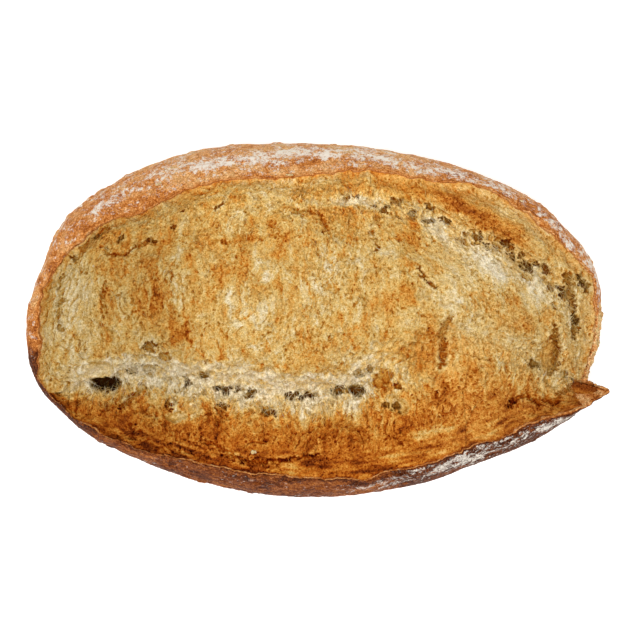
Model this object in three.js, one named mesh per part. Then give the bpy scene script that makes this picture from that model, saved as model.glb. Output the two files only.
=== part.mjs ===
// A bloomer loaf, baked on the hearth: one solid of bread, in millimetres, +Z up.
// The origin is on the flat base under the middle of the outline, +X runs along the loaf and -Y is the
// side of the ear.
//
// The dough is a flat-based oval dome. One long slash split its skin near the -Y side, and the loaf burst
// open there: the torn crumb swelled up as the bloom, and the skin that it left behind stands up as the ear.
// A second, shallower tear opened along the +Y side, under the rim of the old skin.
import * as THREE from 'three';
import { ImprovedNoise } from 'three/addons/math/ImprovedNoise.js';

// ---- Driving dimensions ----
const HALF_LENGTH = 138; // of the oval that every place round the loaf is measured against
const HALF_WIDTH = 84.5;
const WAIST_HEIGHT = 34; // where the loaf is widest
const CROWN_HEIGHT = 89; // top of the bloom
const DOME_POWER = 2.2; // 2 is an ellipse from waist to crown, and more is flatter on top
const FOOT_INSET = 17; // how far the side tucks in from the waist to the base
const LIP_DROP = 2.4; // the bloom starts this far under the rim of the old skin
const EAR_LIP_DROP = 0.8; // and this far under the edge of the ear, where the skin is thin
const LIP_INSET = 1.6; // plan width of that step
const RIM_BLEND = 11; // width over which the bloom comes up to its rim
const CALM_WIDTH = 5; // the crumb's relief dies away over this width at the rim
const OUTLINE_MIDDLE = [-1.7, 0.1]; // middle of the whole outline, ear tip included, in the lines' own x, y

// The waist, seen from above: x, y.
const WAIST_LINE = [
  [135.8, 0], [126, 36.3], [108.7, 53.2], [85.5, 66.2], [50.8, 77.2], [10.4, 84], [-30, 84.5],
  [-66, 79.6], [-90, 70.6], [-122, 46.8], [-134.2, 22.3], [-140.4, -6], [-134.2, -33.1],
  [-105.3, -58.6], [-59, -77], [-10, -84.6], [27.7, -82.7], [62.4, -74.1], [97, -61],
  [119.5, -48.5], [127.5, -31], [133, -13],
];

// The rim where the skin ends and the torn crumb starts: x, y, height. It starts at the right-hand end,
// follows the old skin round the back, and comes home along the ear, past its free tip.
const RIM_LINE = [
  [133.5, -3, 46], [132.7, 9, 47], [130.9, 19.6, 50], [119.3, 32.7, 56], [102.6, 47.8, 60],
  [74.6, 64.2, 62], [54, 65, 64], [24, 70.5, 64.5], [-12, 67.5, 66.5], [-35, 66.8, 66], [-63, 60.7, 66],
  [-82, 51.3, 65], [-108, 43, 59], [-123, 26.7, 53], [-132, 14.4, 47], [-133.6, -8, 45],
  [-131.8, -26, 47], [-122.6, -39.2, 54], [-105.5, -50.4, 60], [-78.7, -62.4, 65], [-44.3, -70.1, 69],
  [-5.8, -74.2, 71], [18, -75.7, 71], [38.6, -69.6, 70], [72.4, -58.4, 68], [101.3, -47.8, 65],
  [120.8, -43.6, 62], [131, -38, 60], [137.6, -33.6, 60], [126.6, -29, 53], [130, -18, 47],
];
const EAR_FROM = 200; // degrees round the loaf between which the rim is the ear
const EAR_TO = 339;
const TIP_FLARE = 2.6; // the tip's underside hangs out in a curve of this power

// The slash, left to right: x, y, and how deep its floor lies under the dome.
const SLASH = [
  [-124, -35, 8], [-114, -33, 13], [-101, -31, 20], [-80, -27, 21], [-63, -31, 23], [-44, -33, 26],
  [-22, -35.5, 27], [-4, -37, 27], [18, -34, 24], [28, -25, 17], [47, -15.5, 11], [60, -8.5, 9],
  [71, -8, 9], [85, -12, 10], [99, -20, 12], [107, -26, 14], [125, -29, 9],
];
const SLASH_WALL = 8; // half-width of the steep wall on the bloom side
const SLASH_SHOULDER = 25; // half-width of the slope above that wall
const WALL_SHARE = 0.5; // how much of the depth the steep wall takes

// The tear at the back, left to right: x, y, depth.
const TEAR = [
  [-30, 58.5, 0], [-4, 59.5, 3], [13, 56, 6], [30, 52, 7], [43, 49.6, 9], [57, 45.5, 12], [67, 39, 14],
  [80, 36, 14], [92, 29.5, 13], [104, 21, 11], [116, 11, 9], [120, 0, 7], [121, -12, 4], [123, -24, 0],
];
const TEAR_RIM_SIDE = 9; // half-widths of its two slopes
const TEAR_BLOOM_SIDE = 19;

// Soft swellings of the bloom: x, y, half-length, half-width, turn in degrees, height.
const SWELLINGS = [
  [84, -30, 34, 13, -10, 6], // the lobe of the ear at the right
  [46, -22, 13, 10, 40, 4.5], // the bridge of dough across the slash
  [-50, -50, 7, 13, 12, 3], // the tongue that stands up from the ear's face
  [10, -57, 20, 8, 4, 2.4],
  [-88, -44, 15, 7, -25, 2.6],
  [-96, 9, 14, 22, 20, 2.2],
  [-2, 42, 16, 8, -25, 2.6],
  [40, 20, 20, 10, 15, 2],
  [-30, 6, 16, 24, 5, 2],
  [63, 2, 16, 9, 38, 2.6],
  [-20, 44, 20, 8, 5, 1.6],
  [-66, 25, 18, 9, 32, 1.8],
];

// Folds, cracks and stretched ridges: half-width, height (below zero for a crease), and a line of x, y.
const FOLDS = [
  [2.6, -5, [[55, -4], [57, -13], [57.5, -20]]],
  [2.8, -3.5, [[47, 21], [51, 17], [54, 13]]],
  [3, -4.5, [[108, -3], [109.5, -12], [106, -21]]],
  [3.4, 3.4, [[113, 12], [114.5, 0], [112, -16]]],
  [2.6, -5, [[117.5, 13], [119.5, 3], [119.5, -8]]],
  [2.6, -4.5, [[120, 19], [124.5, 13]]],
  [2.8, -3, [[-118, 19], [-119, 8], [-118.5, -5]]],
  [3, -3, [[-112, 27], [-105, 34], [-96, 39.5]]],
  [2.6, -2.4, [[-98, 16], [-101, 9], [-99, 2]]],
  [2.8, -2.8, [[-58, -57.5], [-38, -65.5], [-21, -66.5], [-1, -63.5]]],
  [3, -3.4, [[42, -56.5], [51, -54], [60, -48]]],
  [2.8, -3, [[88, -41], [96, -37.5], [105, -39], [113, -37]]],
  [3, 2.6, [[-9, 50], [-2, 48.5], [3, 42]]],
  [2.8, -2.2, [[-50, 35], [-36, 38], [-18, 38]]],
];

// The large holes of the torn crumb: x, y, half-length, half-width, turn in degrees, depth.
const HOLES = [
  [-100, -30.5, 8.5, 5, 0, 10],
  [-104, -23, 9, 6, 10, 4],
  [-79, -13, 4, 3.4, 20, 4],
  [37, -39.5, 7, 4.2, -38, 5.5],
  [27, -21, 6, 4, 42, 4],
  [-66, -44, 6.5, 5, 20, 3],
  [60, 45, 5, 3.5, -30, 4],
  [-8, -37, 7, 3.5, 0, 4],
  [19, -33, 6, 3.5, -12, 4],
];

const CRAG_HEIGHT = 2.4; // of the torn crumb's roughness
const CRAG_SIZE = 10;
const SKIN_CRAG_HEIGHT = 0.9; // the skin is much smoother
const SKIN_CRAG_SIZE = 15;
const ROLL_HEIGHT = 0.7; // of the long soft waves in the bloom
const ROLL_LENGTHS = [46, 31, 23];

// ---- Resolution ----
const AROUND = 188; // places round the loaf
const CENTRE_AROUND = 10; // and round the crown, where the rings are small
const TIP_ANGLE = 336; // where the ear's free tip needs finer steps
const TIP_HALF_SPAN = 7;
const TIP_EXTRA = 12;
const LEAST_STEP = 0.3; // degrees between neighbouring places
const BLOOM_RINGS = 30;
const RING_POWER = 0.92; // under 1, the rings crowd towards the rim
const SKIN_RINGS = 5;
const UNDER_RINGS = 3;
const SKIN_TURN = Math.PI / 3; // the skin's profile turns through this angle from waist to rim
const UNDER_TURN = (75 * Math.PI) / 180; // and through this one from waist to base

const DEGREE = Math.PI / 180;
const mix = (a, b, t) => a + (b - a) * t;
const smooth = (t) => {
  const c = Math.min(1, Math.max(0, t));
  return c * c * (3 - 2 * c);
};
const bell = (d, width) => Math.exp(-((d / width) ** 2));

// A place seen from above, as its angle round the oval in degrees and its reach, which is 1 on the oval.
function polar(x, y) {
  const angle = Math.atan2(y / HALF_WIDTH, x / HALF_LENGTH) / DEGREE;
  return { angle: (angle + 360) % 360, reach: Math.hypot(x / HALF_LENGTH, y / HALF_WIDTH) };
}

function place(angle, reach) {
  return [
    HALF_LENGTH * reach * Math.cos(angle * DEGREE),
    HALF_WIDTH * reach * Math.sin(angle * DEGREE),
  ];
}

// A closed line round the loaf as smooth functions of the angle: its reach and its height.
// The slope at each point lies between those of its two chords, so the line never overshoots.
function aroundLoaf(points) {
  const knots = points
    .map(([x, y, z = 0]) => ({ ...polar(x, y), height: z }))
    .sort((a, b) => a.angle - b.angle);
  const count = knots.length;
  const knot = (i) => {
    const turn = Math.floor(i / count);
    const k = knots[i - turn * count];
    return { ...k, angle: k.angle + 360 * turn };
  };
  const chord = (i, key) => (knot(i + 1)[key] - knot(i)[key]) / (knot(i + 1).angle - knot(i).angle);
  const slope = (i, key) => {
    const before = chord(i - 1, key);
    const after = chord(i, key);
    return before * after > 0 ? (2 * before * after) / (before + after) : 0;
  };
  return (angle) => {
    const i = knots.findLastIndex((k) => k.angle <= angle);
    const from = knot(i);
    const to = knot(i + 1);
    const span = to.angle - from.angle;
    const t = (angle - from.angle) / span;
    const hermite = (key) =>
      (1 + 2 * t) * (1 - t) ** 2 * from[key] +
      t * (1 - t) ** 2 * span * slope(i, key) +
      t * t * (3 - 2 * t) * to[key] +
      t * t * (t - 1) * span * slope(i + 1, key);
    return { reach: hermite('reach'), height: hermite('height') };
  };
}

const waist = aroundLoaf(WAIST_LINE);
const rim = aroundLoaf(RIM_LINE);

// The nearest point of an open line: how far it is, where it is, and the line's third value there.
function nearest(line, x, y) {
  let best = { distance: Infinity };
  for (let i = 0; i + 1 < line.length; i += 1) {
    const [ax, ay, av = 0] = line[i];
    const [bx, by, bv = 0] = line[i + 1];
    const run = (bx - ax) ** 2 + (by - ay) ** 2;
    const t = Math.min(1, Math.max(0, ((x - ax) * (bx - ax) + (y - ay) * (by - ay)) / run));
    const px = mix(ax, bx, t);
    const py = mix(ay, by, t);
    const distance = Math.hypot(x - px, y - py);
    if (distance < best.distance) best = { distance, x: px, y: py, value: mix(av, bv, t) };
  }
  return best;
}

// The y of a line that runs left to right, at a given x.
function lineY(line, x) {
  const i = line.findLastIndex(([ax]) => ax <= x);
  if (i < 0) return line[0][1];
  if (i === line.length - 1) return line[i][1];
  const [ax, ay] = line[i];
  const [bx, by] = line[i + 1];
  return mix(ay, by, (x - ax) / (bx - ax));
}

// ---- The loaf as a surface ----
function dome(x, y) {
  const { angle, reach } = polar(x, y);
  const share = reach / waist(angle).reach;
  return WAIST_HEIGHT + (CROWN_HEIGHT - WAIST_HEIGHT) * Math.sqrt(Math.max(0, 1 - share ** DOME_POWER));
}

// How much of an oval spot, such as a swelling or a hole, lies at a place: 1 in its middle, 0 outside.
function spot([cx, cy, halfLength, halfWidth, turn], x, y) {
  const c = Math.cos(turn * DEGREE);
  const s = Math.sin(turn * DEGREE);
  const u = ((x - cx) * c + (y - cy) * s) / halfLength;
  const v = ((y - cy) * c - (x - cx) * s) / halfWidth;
  return smooth(1 - Math.hypot(u, v) / 1.5);
}

const noise = new ImprovedNoise();

function crags(x, y, z, size) {
  const coarse = noise.noise(x / size, y / size, z / size);
  const fine = noise.noise((2.1 * x) / size, (2.1 * y) / size, 7 + (2.1 * z) / size);
  return coarse + 0.6 * fine;
}

function rolls(x, y) {
  const [long, middle, short] = ROLL_LENGTHS.map((length) => (2 * Math.PI) / length);
  return (
    Math.sin(long * x + 0.6 * Math.sin(long * y)) * Math.cos(0.7 * long * y) +
    0.6 * Math.sin(middle * (0.8 * x - 0.6 * y) + 1) +
    0.5 * Math.sin(short * (x + 0.3 * y) + 2)
  );
}

// Relief that the torn crumb carries on its main form.
function crumbRelief(x, y, z) {
  let relief = ROLL_HEIGHT * rolls(x, y) + CRAG_HEIGHT * crags(x, y, z, CRAG_SIZE);
  for (const swelling of SWELLINGS) relief += swelling[5] * spot(swelling, x, y);
  for (const [width, height, line] of FOLDS) relief += height * bell(nearest(line, x, y).distance, width);
  for (const hole of HOLES) relief -= hole[5] * spot(hole, x, y);
  return relief;
}

// The ear's face climbs from the floor of the slash to the ear's edge.
function earFace(slash, toEdge, edgeHeight) {
  const floor = dome(slash.x, slash.y) - slash.value;
  const share = slash.distance / (slash.distance + toEdge + 0.01);
  return mix(floor, edgeHeight, mix(share, smooth(share), 0.5));
}

// The bloom is the dome, less what the slash and the back tear take out of it.
function bloomDome(x, y, slash) {
  const wall = bell(slash.distance, SLASH_WALL);
  const shoulder = bell(slash.distance, SLASH_SHOULDER);
  const tear = nearest(TEAR, x, y);
  const underRim = y > lineY(TEAR, x) || x > TEAR[TEAR.length - 1][0];
  return (
    dome(x, y) -
    slash.value * mix(shoulder, wall, WALL_SHARE) -
    tear.value * bell(tear.distance, underRim ? TEAR_RIM_SIDE : TEAR_BLOOM_SIDE)
  );
}

// The height of the torn crumb inside the rim.
function crumbHeight(x, y) {
  const { angle } = polar(x, y);
  const edge = rim(angle);
  const [edgeX, edgeY] = place(angle, edge.reach);
  const toEdge = Math.hypot(edgeX - x, edgeY - y);
  const edgeHeight = edge.height - (angle > EAR_FROM && angle < EAR_TO ? EAR_LIP_DROP : LIP_DROP);
  const slash = nearest(SLASH, x, y);
  const height =
    y < lineY(SLASH, x)
      ? earFace(slash, toEdge, edgeHeight)
      : mix(bloomDome(x, y, slash), edgeHeight, smooth(1 - toEdge / RIM_BLEND));
  return height + smooth(toEdge / CALM_WIDTH) * crumbRelief(x, y, height);
}

// A point pushed out from the loaf's axis by the unevenness of its skin, none at the ends of the profile.
function unevenSkin(x, y, z, share) {
  const push = SKIN_CRAG_HEIGHT * crags(x, y, z, SKIN_CRAG_SIZE) * Math.sin(Math.PI * share);
  const swell = 1 + push / HALF_WIDTH;
  return [x * swell, y * swell, z];
}

// The skin between the waist and the rim: share 0 at the waist, 1 at the rim.
function skinPoint(angle, share) {
  const low = waist(angle);
  const high = rim(angle);
  const turn = SKIN_TURN * share;
  const roundIn = (1 - Math.cos(turn)) / (1 - Math.cos(SKIN_TURN));
  const sideways = high.reach > low.reach ? share ** TIP_FLARE : roundIn;
  const z = mix(WAIST_HEIGHT, high.height, Math.sin(turn) / Math.sin(SKIN_TURN));
  const [x, y] = place(angle, mix(low.reach, high.reach, sideways));
  return unevenSkin(x, y, z, share);
}

// The side under the waist: share 0 at the waist, 1 at the base.
function underPoint(angle, share) {
  const [x, y] = place(angle, waist(angle).reach);
  const turn = UNDER_TURN * share;
  const roundIn = (1 - Math.cos(turn)) / (1 - Math.cos(UNDER_TURN));
  const keep = 1 - (FOOT_INSET * roundIn) / Math.hypot(x, y);
  const z = WAIST_HEIGHT * (1 - Math.sin(turn) / Math.sin(UNDER_TURN));
  return unevenSkin(x * keep, y * keep, z, share);
}

// ---- The mesh: rings from the crown out over the rim, down the skin and in to the base ----
// Each ring has its own angles, few round the crown and most at the rim, and is stitched to the next.
function ringAngles(count) {
  const angles = Array.from({ length: count }, (_, i) => (360 * i) / count);
  if (count < 0.9 * AROUND) return angles;
  for (let i = 0; i < TIP_EXTRA; i += 1) {
    angles.push(TIP_ANGLE + TIP_HALF_SPAN * ((2 * (i + 0.5)) / TIP_EXTRA - 1));
  }
  return angles
    .sort((a, b) => a - b)
    .filter((angle, i, all) => i === 0 || angle - all[i - 1] > LEAST_STEP);
}

function bloomRing(k) {
  const outwards = (k / BLOOM_RINGS) ** RING_POWER;
  return {
    angles: ringAngles(Math.max(CENTRE_AROUND, Math.round(AROUND * outwards))),
    point(angle) {
      const [x, y] = place(angle, rim(angle).reach);
      const keep = outwards * (1 - LIP_INSET / Math.hypot(x, y));
      return [x * keep, y * keep, crumbHeight(x * keep, y * keep)];
    },
  };
}

function loafRings() {
  const rings = [{ angles: [0], point: () => [0, 0, crumbHeight(0, 0)] }];
  const angles = ringAngles(AROUND);
  for (let k = 1; k <= BLOOM_RINGS; k += 1) rings.push(bloomRing(k));
  for (let k = SKIN_RINGS; k >= 0; k -= 1) {
    rings.push({ angles, point: (angle) => skinPoint(angle, k / SKIN_RINGS) });
  }
  for (let k = 1; k <= UNDER_RINGS; k += 1) {
    rings.push({ angles, point: (angle) => underPoint(angle, k / UNDER_RINGS) });
  }
  rings.push({ angles: [0], point: () => [0, 0, 0] });
  return rings;
}

// Triangles between two rings that need not have the same number of points. A single point is a ring too.
function stitch(inner, outer, faces) {
  const sizes = [inner.angles.length, outer.angles.length];
  const steps = sizes.map((size) => (size === 1 ? 0 : size));
  const angleAt = (ring, n) => (n < ring.angles.length ? ring.angles[n] : 360);
  const vertex = (ring, n) => ring.first + (n % ring.angles.length);
  let i = 0;
  let j = 0;
  while (i < steps[0] || j < steps[1]) {
    const outerNext = i === steps[0] || (j < steps[1] && angleAt(outer, j + 1) <= angleAt(inner, i + 1));
    if (outerNext) {
      faces.push(vertex(inner, i), vertex(outer, j), vertex(outer, j + 1));
      j += 1;
    } else {
      faces.push(vertex(inner, i), vertex(outer, j), vertex(inner, i + 1));
      i += 1;
    }
  }
}

function loafGeometry() {
  const rings = loafRings();
  const positions = [];
  const faces = [];
  for (const ring of rings) {
    ring.first = positions.length / 3;
    for (const angle of ring.angles) positions.push(...ring.point(angle));
  }
  for (let k = 0; k + 1 < rings.length; k += 1) stitch(rings[k], rings[k + 1], faces);
  const geometry = new THREE.BufferGeometry();
  geometry.setAttribute('position', new THREE.Float32BufferAttribute(positions, 3));
  geometry.setIndex(faces);
  geometry.translate(-OUTLINE_MIDDLE[0], -OUTLINE_MIDDLE[1], 0);
  geometry.computeVertexNormals();
  return geometry;
}

const bakedBread = new THREE.MeshStandardMaterial({ color: 0xcb9c59, roughness: 0.85, metalness: 0 });
const loaf = new THREE.Mesh(loafGeometry(), bakedBread);
loaf.name = 'loaf';

const bloomer = new THREE.Group();
bloomer.add(loaf);

export default bloomer;
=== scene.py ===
# %% [markdown]
# # A bloomer loaf
# A bloomer is a long oval loaf, baked on the hearth with no tin. One lengthwise cut opens in the oven:
# the dough swells out of it as the torn, golden bloom, and the skin beside it lifts into an ear. The loaf
# is made here of seven pieces: the torn crumb inside the rim in three parts, two lots of the thin
# strands that the tearing left, the baked skin, and a few loose flakes. All of them replace the one plain
# solid that carries the loaf.

import math

import bpy
import numpy as np
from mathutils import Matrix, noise


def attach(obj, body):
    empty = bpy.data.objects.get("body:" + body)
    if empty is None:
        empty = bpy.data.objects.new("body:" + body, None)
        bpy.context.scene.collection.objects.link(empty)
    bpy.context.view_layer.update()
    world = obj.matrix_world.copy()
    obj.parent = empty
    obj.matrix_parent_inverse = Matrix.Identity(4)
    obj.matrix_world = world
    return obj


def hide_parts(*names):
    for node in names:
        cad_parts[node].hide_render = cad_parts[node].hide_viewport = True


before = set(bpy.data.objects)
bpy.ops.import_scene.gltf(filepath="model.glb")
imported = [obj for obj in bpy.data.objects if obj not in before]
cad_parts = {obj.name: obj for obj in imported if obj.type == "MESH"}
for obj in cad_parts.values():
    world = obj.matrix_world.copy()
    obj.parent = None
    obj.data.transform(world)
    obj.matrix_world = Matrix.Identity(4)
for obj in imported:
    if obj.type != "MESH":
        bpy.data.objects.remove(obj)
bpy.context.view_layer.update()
MM = 0.001

# %% [markdown]
# ## Camera, table and light
# The loaf is seen from straight above, so the camera hangs over it and looks down with no turn at all. A
# long lens keeps the sides of the loaf from spreading. The light is a wide soft sun nearly overhead and a
# pale, slightly warm sky all round it, as in a light tent, so that the crags of the crumb shade
# themselves gently. The table glows a little, which keeps it near white and lights the loaf's sides.

# %% Camera
CAMERA_HEIGHT = 1.2
CAMERA_OVER = (0.0024, -0.0004)
LENS = 136.1

bpy.ops.object.camera_add(location=(*CAMERA_OVER, CAMERA_HEIGHT), rotation=(0, 0, 0))
camera = bpy.context.object
camera.name = "overhead_camera"
camera.data.lens = LENS
bpy.context.scene.camera = camera
print("camera", round(CAMERA_HEIGHT, 2), "m above the table")

# %% Table, sky and sun
TABLE_SIZE = 16.0
TABLE_COLOUR = (0.93, 0.93, 0.93)
TABLE_ROUGHNESS = 0.9
TABLE_GLOW = 0.35
SKY_STRENGTH = 0.43
SKY_COLOUR = (1.0, 0.955, 0.86)
SUN_STRENGTH = 2.4
SUN_PLACE = (0, 0.5, 1.5)
SUN_TILT = (math.radians(7), math.radians(-5), 0)
SUN_WIDTH = math.radians(30)


def table_material():
    """One even dull white, with a faint glow of its own."""
    material = bpy.data.materials.new("table_white")
    material.use_nodes = True
    surface = material.node_tree.nodes["Principled BSDF"]
    surface.inputs["Base Color"].default_value = (*TABLE_COLOUR, 1)
    surface.inputs["Roughness"].default_value = TABLE_ROUGHNESS
    surface.inputs["Emission Color"].default_value = (1, 1, 1, 1)
    surface.inputs["Emission Strength"].default_value = TABLE_GLOW
    return material


bpy.ops.mesh.primitive_plane_add(size=TABLE_SIZE, location=(0, 0, 0))
table = bpy.context.object
table.name = "table"
table.data.materials.append(table_material())

world = bpy.data.worlds.new("light_tent")
world.use_nodes = True
world.node_tree.nodes["Background"].inputs["Color"].default_value = (*SKY_COLOUR, 1)
world.node_tree.nodes["Background"].inputs["Strength"].default_value = SKY_STRENGTH
bpy.context.scene.world = world

bpy.ops.object.light_add(type="SUN", location=SUN_PLACE, rotation=SUN_TILT)
sun = bpy.context.object
sun.name = "soft_sun"
sun.data.energy = SUN_STRENGTH
sun.data.angle = SUN_WIDTH
bpy.context.scene.view_settings.view_transform = "Standard"
print("table", TABLE_SIZE, "m across, sky", SKY_STRENGTH, "and sun", SUN_STRENGTH)

# %% [markdown]
# ## The loaf's lines
# A loaf has no straight edge to measure from, so every place on it is given round an oval: an angle, and
# a reach that is 1 on the oval. Two closed lines then hold the whole form. The waist is where the loaf is
# widest, and the rim is where the skin ends and the torn crumb starts. The slash and the tear at the back
# are open lines with a depth. All are in millimetres, and nearly the same lines shape the solid
# underneath.

# %% Main sizes and the two closed lines
HALF_LENGTH = 138.0
HALF_WIDTH = 84.5
WAIST_HEIGHT = 34.0
CROWN_HEIGHT = 89.0
DOME_POWER = 2.2
FOOT_INSET = 17.0
LIP_DROP = 2.4
EAR_LIP_DROP = 0.8
EAR_FROM, EAR_TO = 200, 339
OUTLINE_MIDDLE = (-1.7, 0.1)
EAR_TIP = (137.6, -33.6)
# The rim counts as hanging out from this share of the waist's reach, and fully so a span further.
OVERHANG_FROM, OVERHANG_SPAN = 0.99, 0.03

# x and y round the waist.
WAIST_LINE = [
    (135.8, 0), (126, 36.3), (108.7, 53.2), (85.5, 66.2), (50.8, 77.2), (10.4, 84), (-30, 84.5),
    (-66, 79.6), (-90, 70.6), (-122, 46.8), (-134.2, 22.3), (-140.4, -6), (-134.2, -33.1),
    (-105.3, -58.6), (-59, -77), (-10, -84.6), (27.7, -82.7), (62.4, -74.1), (97, -61),
    (119.5, -48.5), (127.5, -31), (133, -13),
]
# x, y and height round the rim.
RIM_LINE = [
    (133.5, -3, 46), (132.7, 9, 47), (130.9, 19.6, 50), (119.3, 32.7, 56), (102.6, 47.8, 60),
    (74.6, 64.2, 62), (54, 65, 64), (24, 70.5, 64.5), (-12, 67.5, 66.5), (-35, 66.8, 66), (-63, 60.7, 66),
    (-82, 51.3, 65), (-108, 43, 59), (-123, 26.7, 53), (-132, 14.4, 47), (-133.6, -8, 45),
    (-133.2, -28.2, 47), (-121.8, -42.2, 54), (-106.8, -51.6, 60), (-78.7, -62.4, 65), (-44.3, -70.1, 69),
    (-5.8, -74.2, 71), (18, -75.7, 71), (38.6, -70.3, 70), (72.6, -59.8, 68),
    (86, -56, 67), (101.4, -48.4, 65),
    (120.8, -43.6, 62), (131, -38, 60), (*EAR_TIP, 60), (126.6, -29, 53), (130, -18, 47),
]


def mix(a, b, t):
    return a + (b - a) * t


def smooth(t):
    c = np.clip(t, 0, 1)
    return c * c * (3 - 2 * c)


def bell(distance, width):
    return np.exp(-((distance / width) ** 2))


def polar(x, y):
    """The angle round the oval in degrees, and the reach."""
    angle = np.degrees(np.arctan2(y / HALF_WIDTH, x / HALF_LENGTH)) % 360
    return angle, np.hypot(x / HALF_LENGTH, y / HALF_WIDTH)


def place(angle, reach):
    turn = np.radians(angle)
    return HALF_LENGTH * reach * np.cos(turn), HALF_WIDTH * reach * np.sin(turn)


def around_loaf(points):
    """A closed line as a smooth function of the angle, which gives its reach and its height."""
    line = np.array([(*point, 0)[:3] for point in points], float)
    angle, reach = polar(line[:, 0], line[:, 1])
    order = np.argsort(angle)
    lap = len(points)
    angle = np.concatenate([angle[order] + full_turn for full_turn in (-360, 0, 360)])
    values = np.tile(np.stack([reach[order], line[order, 2]], axis=1), (3, 1))
    chord = np.diff(values, axis=0) / np.diff(angle)[:, None]
    before, after = chord[:-1], chord[1:]
    together = np.where(before * after > 0, before + after, 1)
    slope = np.zeros_like(values)
    slope[1:-1] = np.where(before * after > 0, 2 * before * after / together, 0)

    def at(wanted):
        wanted = np.asarray(wanted, float)
        i = np.clip(np.searchsorted(angle, wanted, side="right") - 1, lap - 1, 2 * lap)
        span = (angle[i + 1] - angle[i])[..., None]
        t = ((wanted - angle[i])[..., None]) / span
        value = (
            (1 + 2 * t) * (1 - t) ** 2 * values[i]
            + t * (1 - t) ** 2 * span * slope[i]
            + t * t * (3 - 2 * t) * values[i + 1]
            + t * t * (t - 1) * span * slope[i + 1]
        )
        return value[..., 0], value[..., 1]

    return at


waist = around_loaf(WAIST_LINE)
smooth_rim = around_loaf(RIM_LINE)


def overhang(angle):
    """Where the rim hangs out past the waist, as it does at the ear's tip: 0 to 1."""
    return smooth((smooth_rim(angle)[0] / waist(angle)[0] - OVERHANG_FROM) / OVERHANG_SPAN)


print("rim heights round the loaf:", np.round(smooth_rim(np.arange(0, 360, 45))[1], 1))

# %% The slash and the tear
# x, y and depth along the floor of the slash, from left to right, and then along the tear.
SLASH = [
    (-124, -35, 8), (-114, -33, 13), (-101, -31, 20), (-80, -27, 21), (-63, -31, 23), (-44, -33, 26),
    (-22, -35.5, 27), (-4, -37, 27), (18, -34, 24), (28, -25, 17), (47, -15.5, 11), (60, -8.5, 9),
    (71, -8, 9), (85, -12, 10), (99, -20, 12), (107, -26, 14), (125, -29, 9),
]
SLASH_WALL, SLASH_SHOULDER, WALL_SHARE = 8.0, 25.0, 0.5
TEAR = [
    (-30, 58.5, 0), (-4, 59.5, 3), (13, 56, 6), (30, 52, 7), (43, 49.6, 9), (57, 45.5, 12), (67, 39, 14),
    (80, 36, 14), (92, 29.5, 13), (104, 21, 11), (116, 11, 9), (120, 0, 7), (121, -12, 4), (123, -24, 0),
]
TEAR_RIM_SIDE, TEAR_BLOOM_SIDE = 9.0, 19.0
RIM_BLEND = 11.0
deepest_slash, deepest_tear = (max(point[2] for point in line) for line in (SLASH, TEAR))
print("the slash is up to", deepest_slash, "mm deep, and the tear", deepest_tear)

# %% Swellings and folds
# Soft swellings: x, y, half-length, half-width, turn in degrees, height.
SWELLINGS = [
    (84, -30, 34, 13, -10, 6), (46, -22, 13, 10, 40, 4.5), (-50, -50, 7, 13, 12, 3), (10, -57, 20, 8, 4, 2.4),
    (-88, -44, 15, 7, -25, 2.6), (-96, 9, 14, 22, 20, 2.2), (-2, 42, 16, 8, -25, 2.6),
    (40, 20, 20, 10, 15, 2), (-30, 6, 16, 24, 5, 2), (63, 2, 16, 9, 38, 2.6), (-20, 44, 20, 8, 5, 1.6),
    (-66, 25, 18, 9, 32, 1.8),
]
# Creases (below zero) and stretched ridges: half-width, height, and a line of x, y.
FOLDS = [
    (1.5, -3.0, [(60.5, 0), (57.2, -5), (57.9, -11.9), (57.4, -20.9)]),
    (1.0, -3.2, [(45.9, 23.1), (48.2, 20.2), (50.6, 17.4), (54.1, 14.9)]),
    (1.8, -4.5, [(111.5, -5), (112.4, -14.4), (111.2, -24)]),
    (3.4, 3.0, [(114.5, -5), (118.8, -14.4), (120.6, -28.5)]),
    (3.0, 2.4, [(113, 12), (114.5, 0)]),
    (1.5, -4.5, [(117.8, 20.9), (121.3, 3.5), (122.2, -2.2), (121.7, -7.9)]),
    (1.5, -4.5, [(122.9, 19.6), (125.7, 16.7), (128.1, 14.4)]),
    (1.4, -2.0, [(-121.7, 19.6), (-122.6, 9.2), (-121.7, -5.1)]),
    (1.5, -2.4, [(-115.1, 27.6), (-109, 34.7), (-104.7, 38.4), (-98.6, 42.7)]),
    (0.8, -1.3, [(-98.7, 17.5), (-101, 10.9), (-99.6, 3.4)]),
    (0.8, -1.6, [(-99.1, 32.9), (-97.7, 30.1), (-89.3, 30.6), (-83.7, 34.4), (-78, 37.2)]),
    (
        1.3, -2.0,
        [(-55.5, -56.5), (-47.5, -59.3), (-36.3, -65.9), (-20.8, -66.8), (-7.3, -64.9), (-0.7, -63.1)],
    ),
    (2.6, -1.2, [(38.7, -55.7), (46.7, -53.9), (54.2, -51), (63, -48.2)]),
    (1.5, -2.4, [(89.8, -40.8), (97.3, -35.7), (104.8, -39), (112.4, -38), (122.3, -30)]),
    (1.4, -2.0, [(-10.9, 50.2), (-3.7, 49.8), (0.1, 47.8), (2.5, 45.4), (3, 40.7)]),
    (0.8, -0.6, [(-48.8, 36.2), (-38.7, 35.3), (-34, 37.9), (-16.9, 38.8)]),
    (1.1, -1.8, [(24.7, 40.6), (25.7, 36.7), (27.1, 33.5)]),
    (1.3, -2.2, [(-84.1, -32.4), (-89.8, -37.1), (-94.5, -43.2)]),
    (3.2, 2.6, [(-53.9, -27.1), (-51.5, -35.6), (-49.1, -48.3)]),
]
print(len(SWELLINGS), "swellings and", len(FOLDS), "folds in the crumb")

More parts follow.
